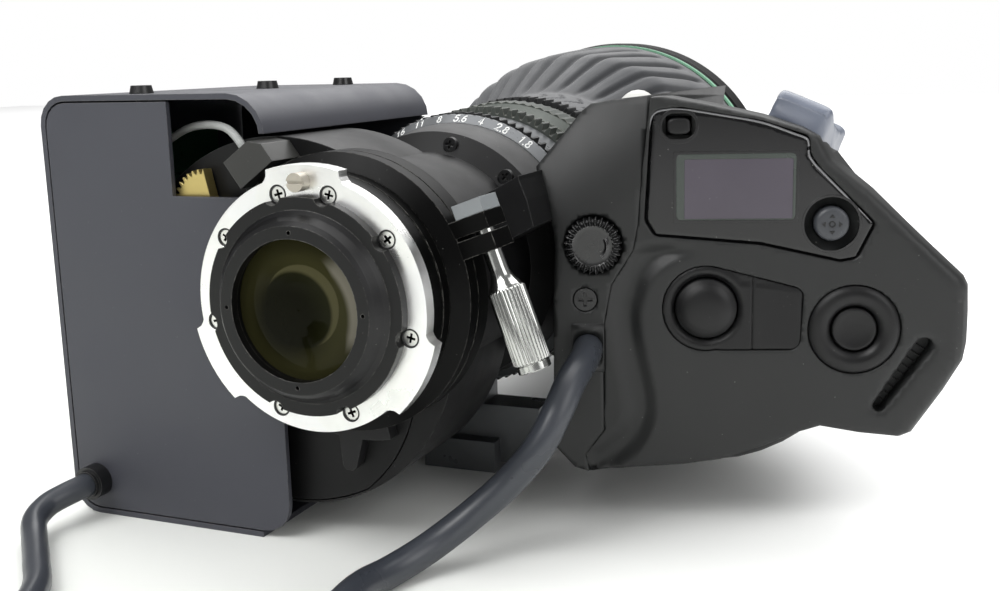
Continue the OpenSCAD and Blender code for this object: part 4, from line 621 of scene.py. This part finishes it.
def addNumbers(s):
    points, faces = [], []
    (y0, r0), (y1, r1) = s["cone"]
    lift = np.array([s["rise"], s["rise"], 0.0, 0.0])
    for label, clock in s["marks"]:
        widths = [s["dotSpacing"] if c == "." else s["spacing"] for c in label]
        left = (s["bearing"] - sum(widths) / 2) * s["height"]
        for c, width in zip(label, widths):
            pen = np.array(strokes[c]) * s["height"]
            heading = np.gradient(pen, axis=0)
            heading /= np.linalg.norm(heading, axis=1, keepdims=True)
            side = np.stack([-heading[:, 1], heading[:, 0]], 1) * s["pen"]
            pen[0] -= heading[0] * s["pen"] * s["overrun"]
            pen[-1] += heading[-1] * s["pen"] * s["overrun"]
            rings = np.stack([pen + side, pen - side, pen - side, pen + side], 1)
            y = s["start"] + rings[..., 1]
            r = r0 + (r1 - r0) * (y - y0) / (y1 - y0) + lift
            faces += tubeFaces(len(pen), 4, len(points))
            points += onBarrel(r, y, math.radians(clock) + (left + rings[..., 0]) / r).reshape(-1, 3).tolist()
            left += width * s["height"]
    return settle(meshPiece("irisNumbers", points, faces, crisp), None, "iris_ring", "gear_black")


# Sloping band that carries the numbers in front of the teeth
def addNumberBand(s):
    y, r = np.array(s["cone"] + s["foot"]).T[:, :, None]
    settle(skin("numberBand", onBarrel(r, y, circle(s["sides"])), wrap=True), None, "iris_ring", "band_grey")


addNumberBand(numberSet)
addNumbers(numberSet)
print("numbers painted")

# Black gaps round the heads of the flange screws
gapSet = {
    "clocks": [-14.5, 14.5, 52.5, 103, 158.5, -160, -101, -55], "ring": 24.9, "inner": 1.74, "outer": 2.1,
    "proud": 0.015, "foot": 0.35, "sides": 40}


def addScrewGaps(s):
    points, faces = [], []
    rows = [(s["outer"], s["foot"]), (s["outer"], -s["proud"]), (s["inner"], -s["proud"]), (s["inner"], s["foot"])]
    r, y = np.array(rows).T[:, :, None]
    for clock in s["clocks"]:
        faces += gridFaces(len(rows), s["sides"], True, len(points))
        centre = onBarrel(s["ring"], 0, math.radians(clock))
        points += (centre + onBarrel(r, y, circle(s["sides"]))).reshape(-1, 3).tolist()
    settle(meshPiece("flangeScrewGaps", points, faces, crisp), None, "lens", "black_screw")


addScrewGaps(gapSet)


# Normals of each face corner: the mean of the faces round its vertex that lie within the limit, weighted by area
def softNormals(mesh, limit):
    mesh.shade_smooth()
    least = math.cos(math.radians(limit))
    near = [[] for v in mesh.vertices]
    for face in mesh.polygons:
        for k in face.vertices:
            near[k].append((face.normal.copy(), face.area))
    normals = []
    for face in mesh.polygons:
        for k in face.vertices:
            total = Vector((0, 0, 0))
            for normal, area in near[k]:
                if normal.dot(face.normal) > least:
                    total += normal * area
            normals.append(total.normalized())
    mesh.normals_split_custom_set(normals)


# Box cover: the CAD sheet with smooth bends
coverSet = {"flat": 1, "limit": 35}


def addCover(s):
    mesh, bm = mergedCopy("boxCover", "box_cover")
    bmesh.ops.dissolve_limit(bm, angle_limit=math.radians(s["flat"]), verts=bm.verts, edges=bm.edges)
    bmesh.ops.triangulate(bm, faces=[f for f in bm.faces if len(f.verts) > 4])
    store(bm, mesh)
    softNormals(mesh, s["limit"])
    settle(addObject("boxCover", mesh), "box_cover", "lens", "box_sheet")


addCover(coverSet)

# Zoom rocker: the CAD shape cut finely, then relaxed until its edges are round like a moulded key
rockerSet = {"step": 1.1, "rounds": 44, "limit": 60, "lift": 0.1, "first": 0.5}


def addRocker(s):
    mesh, bm = mergedCopy("thumbRocker", "zoom_rocker")
    for axis in range(3):
        low, high = (edge(v.co[axis] for v in bm.verts) for edge in (min, max))
        normal = [float(k == axis) for k in range(3)]
        for place in np.arange(low + s["first"] * mm, high, s["step"] * mm):
            point = [place if k == axis else 0.0 for k in range(3)]
            bmesh.ops.bisect_plane(bm, geom=bm.verts[:] + bm.edges[:] + bm.faces[:], dist=weld, plane_co=point,
                                   plane_no=normal)
    foot = min(v.co.z for v in bm.verts)
    for k in range(s["rounds"]):
        bmesh.ops.smooth_vert(bm, verts=bm.verts, factor=0.5, use_axis_x=True, use_axis_y=True, use_axis_z=True)
    for v in bm.verts:
        v.co.z += (v.co.z - foot) * s["lift"]
    store(bm, mesh)
    shade(mesh, s["limit"])
    settle(addObject("thumbRocker", mesh), "zoom_rocker", "zoom_rocker", "button_black")


addRocker(rockerSet)

# Lock screw: a neck that flares into a finely fluted head, with a slot across its end disc
screwSet = {
    "origin": (34.7687, 18.6, 12.6547), "axis": (0.34202, 0, -0.93969), "flutes": 30, "depth": 0.34, "per": 8,
    "run": [(-9.6, 2.15), (6.2, 2.15), (7.2, 2.25), (8.2, 2.5), (9.2, 2.95), (10.1, 3.5), (10.7, 3.85), (10.9, 3.9),
        (11.2, 4.25), (27.6, 4.25), (27.9, 3.9), (27.95, 3.55), (28.15, 3.55), (28.2, 3.8), (29.7, 3.8), (29.9, 3.6)],
    "fluted": (11.0, 27.8), "end": [3.2, 2.8, 2.4, 2.0, 1.6, 1.2, 0.8, 0.4, 0.1], "slotHalf": 0.6,
    "slotFloor": 28.9, "sharp": 38}


def addLockScrew(s):
    a = circle(s["flutes"] * s["per"])
    axis, side = np.array(s["axis"]), np.array([0.0, 1.0, 0.0])
    up = np.cross(axis, side)
    grid = []
    disc = s["run"][-1][0]
    for t, r in s["run"] + [(disc, r) for r in s["end"]]:
        flute = (np.abs(np.sin(a * s["flutes"] / 2)) - 1) * s["depth"] * (s["fluted"][0] < t < s["fluted"][1])
        along = np.full(len(a), t)
        if t >= disc:
            along[np.abs((r + flute) * np.sin(a)) < s["slotHalf"]] = s["slotFloor"]
        ring = (r + flute)[:, None] * (np.cos(a)[:, None] * side + np.sin(a)[:, None] * up)
        grid.append((np.array(s["origin"]) + along[:, None] * axis + ring) * mm)
    settle(skin("lockScrew", np.stack(grid), sharp=s["sharp"]), "lock_screw", "lock_screw", "chrome")


addLockScrew(screwSet)
print("screws and covers finished")

# The table, the lamps and the room's light, in metres and watts
floorSet = {"size": 6.0, "colour": (249, 249, 249), "near": (208, 211, 204), "middle": (-0.22, -0.3, 0.0),
            "reach": (0.05, 0.75), "roughness": 0.55}
lampSet = [
    # name, place, aimed at, size across and down, watts
    ("keySoftbox", (-0.55, -0.75, 1.05), (0.0, 0.05, 0.0), (0.9, 0.9), 8.5),
    ("rightSoftbox", (1.25, -0.35, 0.75), (0.05, 0.05, 0.0), (0.8, 1.0), 7),
    ("topSoftbox", (0.05, 0.55, 1.3), (0.0, 0.12, 0.0), (1.6, 1.1), 17),
    ("nearSoftbox", (-0.06, -0.26, 0.34), (0.05, 0.05, 0.03), (0.26, 0.2), 0.8),
    ("backSoftbox", (-0.4, 2.5, 1.9), (-0.4, 1.9, 0.0), (4.2, 1.6), 58),
]
worldSet = {"colour": (255, 255, 255), "diffuse": 0.72, "glossy": 0.26, "seen": 1.0}


# Gives a node's inputs their values, or links them where the value is a node or a pair of a node and its output
def setInputs(node, values):
    for key, value in values.items():
        if isinstance(value, bpy.types.Node):
            value = (value, 0)
        if isinstance(value, tuple) and isinstance(value[0], bpy.types.Node):
            node.id_data.links.new(value[0].outputs[value[1]], node.inputs[key])
        else:
            node.inputs[key].default_value = value


# A node with its first inputs in order, then its settings and other inputs. Nodes are laid out in rows of six.
def makeNode(tree, kind, *sources, **values):
    node = tree.nodes.new("ShaderNode" + kind)
    node.location = (len(tree.nodes) % 6 * 200 - 1400, len(tree.nodes) // 6 * -300)
    for key, value in values.items():
        if hasattr(node, key):
            setattr(node, key, value)
        else:
            setInputs(node, {key: value})
    setInputs(node, dict(enumerate(sources)))
    return node


def remap(tree, source, low, high, toLow=0.0, toHigh=1.0, **values):
    node = makeNode(tree, "MapRange", source, **values)
    setInputs(node, {"From Min": low, "From Max": high, "To Min": toLow, "To Max": toHigh})
    return node, "Result"


# Sockets of a colour mix, which share their names with those of its other kinds
mixUnder, mixOver, mixResult = 6, 7, 2


# A mix of two colours by a mask. The lower one is a colour, or a node and its output.
def mixColours(tree, mask, under, over):
    blend = makeNode(tree, "Mix", mask, data_type="RGBA")
    lower = under if isinstance(under[0], bpy.types.Node) else linear(*under)
    setInputs(blend, {mixUnder: lower, mixOver: linear(*over)})
    return blend, mixResult


def objectPlace(tree):
    return makeNode(tree, "TexCoord"), "Object"


def newMaterial(name):
    mat = bpy.data.materials.new(name)
    mat.use_nodes = True
    return mat, mat.node_tree, mat.node_tree.nodes["Principled BSDF"]


def addWorld(s):
    world = bpy.data.worlds.new("studio")
    bpy.context.scene.world = world
    world.use_nodes = True
    tree = world.node_tree
    tree.nodes.clear()
    rays = makeNode(tree, "LightPath")
    shown = makeNode(tree, "Math", (rays, "Is Camera Ray"), (rays, "Is Transmission Ray"), operation="MAXIMUM")
    onObject = remap(tree, (rays, "Is Glossy Ray"), 0, 1, s["diffuse"], s["glossy"])
    strength = remap(tree, shown, 0, 1, onObject, s["seen"])
    light = makeNode(tree, "Background", Color=linear(*s["colour"]), Strength=strength)
    makeNode(tree, "OutputWorld", Surface=light)


def addLamps(rows):
    for name, place, aim, size, watts in rows:
        data = bpy.data.lights.new(name, "AREA")
        data.shape, data.size, data.size_y, data.energy = "RECTANGLE", size[0], size[1], watts
        lamp = addObject(name, data)
        lamp.location = place
        lamp.rotation_mode = "QUATERNION"
        lamp.rotation_quaternion = (Vector(aim) - Vector(place)).to_track_quat("-Z", "Y")


# The floor is plain and pale. It is a little darker near the camera, where the lens shades it.
def addFloor(s):
    h = s["size"] / 2
    floor = meshPiece("tableTop", [(-h, -h, tableZ), (h, -h, tableZ), (h, h, tableZ), (-h, h, tableZ)], [[0, 1, 2, 3]])
    mat, tree, shader = newMaterial("paleTable")
    gap = makeNode(tree, "VectorMath", objectPlace(tree), s["middle"], operation="DISTANCE")
    share = remap(tree, (gap, "Value"), *s["reach"], interpolation_type="SMOOTHSTEP")
    setInputs(shader, {"Base Color": mixColours(tree, share, s["near"], s["colour"]), "Roughness": s["roughness"]})
    floor.data.materials.append(mat)


bpy.context.scene.view_settings.view_transform = "Standard"
addWorld(worldSet)
addLamps(lampSet)
addFloor(floorSet)
print("studio lit")


# A shader node group whose inputs and outputs are plain numbers
def newGroup(name, inputs, outputs):
    group = bpy.data.node_groups.new(name, "ShaderNodeTree")
    for side, labels in (("INPUT", inputs), ("OUTPUT", outputs)):
        for label in labels:
            group.interface.new_socket(label, in_out=side, socket_type="NodeSocketFloat")
    start, end = group.nodes.new("NodeGroupInput"), group.nodes.new("NodeGroupOutput")
    start.location, end.location = (-1700, 0), (200, 0)
    return group, start, end


# Fine moulded or painted grain: two noises at a scale per metre, as a height and as a slow cloud
def fineGrainGroup():
    group, start, end = newGroup("fineGrain", ["Scale", "Clouds"], ["Height", "Cloud"])
    place = objectPlace(group)
    grain = makeNode(group, "TexNoise", Vector=place, Scale=(start, "Scale"), Detail=3.0, Roughness=0.6)
    cloud = makeNode(group, "TexNoise", Vector=place, Scale=(start, "Clouds"), Detail=4.0, Roughness=0.55)
    setInputs(end, {"Height": (grain, "Fac"), "Cloud": (cloud, "Fac")})
    return group


# How far the normals lean apart at a worn edge that is also painted bright, what the noise leaves of it, which cells
# hold dust and how large
effectSet = {"lean": (0.985, 0.80), "broken": (0.42, 0.62), "few": (0.93, 1.0), "speck": 0.16, "wearSamples": 6,
             "edgeSamples": 4}


# Worn edges with painted edge highlights: a mask where the rounded normal leaves the true one, broken up by a noise
def edgeWearAndGlintGroup():
    group, start, end = newGroup("edgeWearAndGlint", ["Radius", "Breakup", "Amount"], ["Mask"])
    bevel = makeNode(group, "Bevel", samples=effectSet["wearSamples"], Radius=(start, "Radius"))
    truth = makeNode(group, "NewGeometry")
    dot = makeNode(group, "VectorMath", bevel, (truth, "Normal"), operation="DOT_PRODUCT")
    lean = remap(group, (dot, "Value"), *effectSet["lean"])
    noise = makeNode(group, "TexNoise", Vector=objectPlace(group), Scale=(start, "Breakup"), Detail=5.0, Roughness=0.7)
    broken = remap(group, (noise, "Fac"), *effectSet["broken"])
    both = makeNode(group, "Math", lean, broken, operation="MULTIPLY")
    share = makeNode(group, "Math", both, (start, "Amount"), operation="MULTIPLY")
    setInputs(end, {"Mask": share})
    return group


# Dust and lint: sparse bright cells whose size varies from speck to speck
def dustGroup():
    group, start, end = newGroup("dustSpecks", ["Scale", "Amount"], ["Mask"])
    cells = makeNode(group, "TexVoronoi", Vector=objectPlace(group), Scale=(start, "Scale"))
    tone = makeNode(group, "SeparateColor", (cells, "Color"))
    few = remap(group, tone, *effectSet["few"], 0, effectSet["speck"])
    inside = makeNode(group, "Math", (cells, "Distance"), few, operation="LESS_THAN")
    share = makeNode(group, "Math", inside, (start, "Amount"), operation="MULTIPLY")
    setInputs(end, {"Mask": share})
    return group


# Lathe marks: a noise of the distance from the optical axis and along it, so its lines run round the barrel
def turnedGroup():
    group, start, end = newGroup("turnedLines", ["Scale"], ["Height"])
    parts = makeNode(group, "SeparateXYZ", objectPlace(group))
    flat = makeNode(group, "CombineXYZ", (parts, "X"), (parts, "Z"))
    radius = makeNode(group, "VectorMath", flat, operation="LENGTH")
    polar = makeNode(group, "CombineXYZ", (radius, "Value"), (parts, "Y"))
    noise = makeNode(group, "TexNoise", Vector=polar, Scale=(start, "Scale"), Detail=2.0)
    setInputs(end, {"Height": (noise, "Fac")})
    return group


groups = {"grain": fineGrainGroup(), "wear": edgeWearAndGlintGroup(), "dust": dustGroup(), "turned": turnedGroup()}

# What a finish has unless it says otherwise: colours as seen on screen, depths and edges in mm, scales per metre
plainFinish = {
    "metallic": 0.0, "specular": 0.5, "ior": 1.5, "coat": 0.0, "coatRoughness": 0.12, "sheen": 0.0,
    "grainScale": 3500, "grainDepth": 0.02, "grainStrength": 0.5, "cloudScale": 35, "cloudSpan": (0.3, 0.7),
    "cloudShift": 0.12, "roughShift": 0.12, "leastRough": 0.03, "edge": 0.35, "wear": 0.35, "breakup": 900.0,
    "wearColour": (120, 120, 118), "dust": 0.15, "dustScale": 1300, "dustColour": (170, 170, 165), "turned": 0.0,
    "turnedScale": 3000, "turnedStrength": 0.6}


def makeFinish(name, colour, roughness, **changes):
    s = dict(plainFinish, **changes)
    mat, tree, shader = newMaterial(name)
    grain = makeNode(tree, "Group", node_tree=groups["grain"], Scale=s["grainScale"], Clouds=s["cloudScale"])
    tone = remap(tree, (grain, "Cloud"), *s["cloudSpan"], 1 - s["cloudShift"], 1 + s["cloudShift"])
    base = makeNode(tree, "VectorMath", linear(*colour)[:3], operation="SCALE", Scale=tone), 0
    # Edges get the paler edge colour, partly wear and partly painted highlight; dust specks are real dust
    for key, values in (("wear", {"Radius": s["edge"] * mm, "Breakup": s["breakup"]}),
                        ("dust", {"Scale": s["dustScale"]})):
        if s[key] > 0:
            mask = makeNode(tree, "Group", node_tree=groups[key], Amount=s[key], **values)
            base = mixColours(tree, mask, base, s[key + "Colour"])
    rough = remap(tree, (grain, "Cloud"), *s["cloudSpan"], max(s["leastRough"], roughness - s["roughShift"]),
                  min(1.0, roughness + s["roughShift"]))
    bevel = makeNode(tree, "Bevel", samples=effectSet["edgeSamples"], Radius=s["edge"] * mm)
    bump = makeNode(tree, "Bump", Strength=s["grainStrength"], Distance=s["grainDepth"] * mm, Normal=bevel,
                    Height=(grain, "Height"))
    if s["turned"] > 0:
        lines = makeNode(tree, "Group", node_tree=groups["turned"], Scale=s["turnedScale"])
        bump = makeNode(tree, "Bump", Strength=s["turnedStrength"], Distance=s["turned"] * mm, Normal=bump,
                        Height=lines)
    setInputs(shader, {
        "Base Color": base, "Roughness": rough, "Normal": bump, "Metallic": s["metallic"], "IOR": s["ior"],
        "Specular IOR Level": s["specular"], "Coat Weight": s["coat"], "Coat Roughness": s["coatRoughness"],
        "Sheen Weight": s["sheen"]})
    return mat


glassSet = {"grainScale": 900, "cloudScale": 60, "spread": 0.4}


def glassFinish(name, tint, roughness, weight, ior):
    s = glassSet
    mat, tree, shader = newMaterial(name)
    grain = makeNode(tree, "Group", node_tree=groups["grain"], Scale=s["grainScale"], Clouds=s["cloudScale"])
    rough = remap(tree, (grain, "Cloud"), 0, 1, roughness * (1 - s["spread"]), roughness * (1 + s["spread"]))
    setInputs(shader, {"Base Color": linear(*tint), "Roughness": rough, "Transmission Weight": weight, "IOR": ior})
    return mat


# Soft-edged discs across the optical axis that mask the painted reflections of the rear glass: 1 inside the circle, 0
# outside it, over an edge of that width.
# Each row has the place across and up, the radius and the edge.
discSet = {"inner": (0.5, 0.6, 9.1, 0.25), "shade": (-0.9, -0.6, 8.8, 1.1), "darkPaintedReflection": (-3.2, -2.0, 9.5, 9.0),
           "rim": (-1.4, -1.2, 13.2, 1.6), "half": (15.5, 2.6, 11.0, 5.0)}

# Colours of the rear glass from the lowest up, each inside its own mask: a dark olive base, then painted reflections, a
# darker middle, a pale crescent and a pale band outside the rim
rearGlassReflectionColours = {"base": (44, 43, 24), "inner": (26, 27, 13), "darkPaintedReflection": (11, 11, 4), "crescent": (64, 62, 42),
                "outside": (104, 101, 90), "specular": 0.06}


def softDiscGroup():
    group, start, end = newGroup("softDisc", ["X", "Z", "Radius", "Edge"], ["Inside"])
    parts = makeNode(group, "SeparateXYZ", objectPlace(group))
    here = makeNode(group, "CombineXYZ", X=(parts, "X"), Z=(parts, "Z"))
    middle = makeNode(group, "CombineXYZ", X=(start, "X"), Z=(start, "Z"))
    gap = makeNode(group, "VectorMath", here, middle, operation="DISTANCE")
    past = makeNode(group, "Math", (gap, "Value"), (start, "Radius"), operation="SUBTRACT")
    share = makeNode(group, "Math", past, (start, "Edge"), operation="DIVIDE")
    setInputs(end, {"Inside": remap(group, share, -0.5, 0.5, 1.0, 0.0, interpolation_type="SMOOTHSTEP")})
    return group


groups["disc"] = softDiscGroup()


# Coated rear glass: dark olive, with painted reflections in its colour: the pale crescents that the coated lenses
# behind it show, and a darker middle
def rearGlassReflectionFinish(s):
    mat = glassFinish("rearGlassPaintedReflection", (255, 255, 255), 0.05, 0.06, 1.33)
    tree = mat.node_tree
    masks = {}
    for label, place in discSet.items():
        x, z, radius, edge = (v * mm for v in place)
        masks[label] = makeNode(tree, "Group", node_tree=groups["disc"], X=x, Z=z, Radius=radius, Edge=edge)
    # The pale crescent and the pale band outside the rim are painted reflections
    for label, whole, taken in (("crescent", "inner", "shade"), ("outside", "half", "rim")):
        masks[label] = makeNode(tree, "Math", masks[whole], masks[taken], operation="SUBTRACT", use_clamp=True)
    colour = s["base"]
    for label in ("inner", "darkPaintedReflection", "crescent", "outside"):
        colour = mixColours(tree, masks[label], colour, s[label])
    setInputs(tree.nodes["Principled BSDF"], {"Base Color": colour, "Specular IOR Level": s["specular"]})
    return mat


# Flange screws: bright heads with painted shade, black in the cross and down the sides, where the face lies deeper than
# the head
def screwHeadShadedFinish(depth):
    mat = makeFinish("flangeScrewsPaintedShade", (236, 236, 232), 0.3, metallic=1.0, edge=0.15, wear=0.1, dust=0.12)
    tree = mat.node_tree
    shader = tree.nodes["Principled BSDF"]
    parts = makeNode(tree, "SeparateXYZ", objectPlace(tree))
    shadedRecess = makeNode(tree, "Math", (parts, "Y"), depth * mm, operation="GREATER_THAN")
    bright = shader.inputs["Base Color"].links[0].from_node
    setInputs(shader, {"Base Color": mixColours(tree, shadedRecess, (bright, mixResult), (8, 8, 8))})
    return mat


finishes = {
    "flange_steel": makeFinish(
        "flangeSteel", (253, 253, 251), 0.34, metallic=1.0, roughShift=0.14, cloudScale=60, grainScale=1800,
        grainDepth=0.01, turned=0.02, edge=0.25, wear=0.25, wearColour=(245, 245, 242), dust=0.3,
        dustColour=(90, 88, 84), dustScale=1100),
    "pin_tan": makeFinish("pinTan", (176, 170, 158), 0.36, metallic=0.6, edge=0.2),
    "black_anodised": makeFinish(
        "blackAnodised", (3, 3, 3), 0.36, specular=0.1, roughShift=0.08, turned=0.006, wear=0.5,
        wearColour=(150, 148, 142), dust=0.33, dustScale=1500),
    "housing_grey": makeFinish("housingGrey", (13, 13, 14), 0.46, specular=0.28, wear=0.3, dust=0.21),
    "lever_black": makeFinish("leverBlack", (22, 22, 23), 0.45, specular=0.35),
    "rear_glass": rearGlassReflectionFinish(rearGlassReflectionColours),
    "inner_glass": glassFinish("innerGlassCoat", (120, 128, 130), 0.02, 0.85, 1.3),
    "spacer_grey": makeFinish("spacerGrey", (122, 126, 128), 0.4, wear=0.1),
    "chrome": makeFinish(
        "chromeScrew", (188, 189, 186), 0.17, metallic=1.0, roughShift=0.06, grainDepth=0.004, edge=0.15, wear=0.2,
        wearColour=(250, 250, 248), dust=0.12),
    "black_screw": makeFinish("blackScrew", (20, 20, 21), 0.3, wear=0.5, edge=0.2),
    "band_grey": makeFinish("bandGrey", (96, 98, 100), 0.33, metallic=0.5, wear=0.2, turned=0.004),
    "gear_black": makeFinish("gearBlack", (18, 18, 20), 0.4, specular=0.4, wear=0.55, edge=0.2),
    "knurl_grey": makeFinish(
        "knurlGrey", (70, 74, 70), 0.36, metallic=0.4, wear=0.7, edge=0.25, wearColour=(190, 188, 176)),
    "rubber": makeFinish(
        "ribRubber", (36, 38, 42), 0.62, grainScale=2500, grainDepth=0.05, wear=0.12, dust=0.27, sheen=0.15),
    "stripe_green": makeFinish("stripeGreen", (112, 160, 132), 0.45, wear=0.2),
    "cell_metal": makeFinish("cellMetal", (46, 46, 47), 0.4, metallic=0.6),
    "box_sheet": makeFinish(
        "boxSheet", (57, 58, 65), 0.5, grainScale=5200, grainDepth=0.03, wearColour=(140, 138, 134), dust=0.18,
        cloudShift=0.06),
    "board_green": makeFinish("boardGreen", (36, 82, 50), 0.35),
    "brass": makeFinish("brassGear", (205, 186, 120), 0.32, metallic=0.85, turned=0.01),
    "plug_plastic": makeFinish("plugPlastic", (46, 46, 44), 0.5),
    "lead_grey": makeFinish("leadGrey", (150, 152, 150), 0.35, wear=0.0),
    "lead_black": makeFinish("leadBlack", (52, 55, 61), 0.36, grainScale=1500, wear=0.0, dust=0.18),
    "plug_metal": makeFinish("plugMetal", (52, 52, 54), 0.35, metallic=0.7),
    "motor_steel": makeFinish("motorSteel", (140, 140, 142), 0.35, metallic=0.9),
    "grip_plastic": makeFinish(
        "gripPlastic", (22, 23, 23), 0.48, specular=0.45, roughShift=0.06, grainScale=4200, grainDepth=0.045,
        wear=0.18, dust=0.24, dustScale=1100, cloudShift=0.05, edge=0.5),
    "display_gloss": makeFinish(
        "displayGloss", (4, 4, 5), 0.09, roughShift=0.04, grainDepth=0.001, specular=0.4, coat=0.25, wear=0.2,
        dust=0.3, dustScale=1100),
    "window_grey": makeFinish("windowGrey", (64, 59, 68), 0.22, roughShift=0.05, wear=0.0, dust=0.18),
    "button_black": makeFinish("buttonBlack", (12, 12, 13), 0.42, specular=0.34, wear=0.15, dust=0.18, edge=0.4),
    "button_pale": makeFinish("buttonPale", (176, 176, 172), 0.4, wear=0.1),
}

# Pieces whose look differs from the rest of their slot
menuMarks = makeFinish("menuMarks", (14, 14, 15), 0.5, wear=0.1)
ownFinish = {
    "flange_screws": screwHeadShadedFinish(0.36),
    "windowFrame": makeFinish("windowRim", (52, 58, 54), 0.25, roughShift=0.05, wear=0.0, dust=0.12),
    # Rocker coloured pale blue-grey, lighter than the black keys: painted sheen for the glare on it
    "thumbRocker": makeFinish(
        "rockerPaintedSheen", (92, 98, 111), 0.36, specular=0.7, grainScale=3000, grainDepth=0.03, wear=0.1),
    "rear_spigot": makeFinish(
        "spigotBlack", (7, 7, 8), 0.36, specular=0.35, roughShift=0.08, turned=0.006, wear=0.5,
        wearColour=(150, 148, 142), dust=0.3, dustScale=1500),
    # Pale grey on the lip: painted highlight along the panel's black edge
    "displayLip": makeFinish(
        "lipPaintedHighlight", (90, 90, 92), 0.16, specular=1.0, coat=1.0, roughShift=0.04, wear=0.0, dust=0.12),
    # Knob: a strong pale edge colour on its ridges, painted highlights along them
    "indexKnob": makeFinish(
        "knobGloss", (9, 9, 10), 0.26, specular=0.6, coat=0.2, edge=0.12, wear=0.8, wearColour=(190, 190, 190)),
    "menuKey": makeFinish("menuSatin", (52, 54, 58), 0.4, wear=0.3, edge=0.3),
    "menuArrows": menuMarks,
    "menuRing": menuMarks,
    "irisNumbers": makeFinish(
        "numberPaint", (225, 226, 224), 0.55, grainDepth=0.004, wear=0.0, dust=0.21, dustColour=(90, 90, 90)),
}
for row in frame["record"]["subparts"]:
    mesh = nodes[row["node"]].data
    mesh.materials.clear()
    mesh.materials.append(ownFinish.get(row["node"], finishes[row["material_slot"]]))
for piece in (gripLead, boxLead):
    piece.data.materials.append(finishes["lead_black"])
for piece in extraPieces:
    piece.data.materials.clear()
    piece.data.materials.append(ownFinish.get(piece.name, finishes[piece["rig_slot"]]))
print("finishes made:", len(finishes))
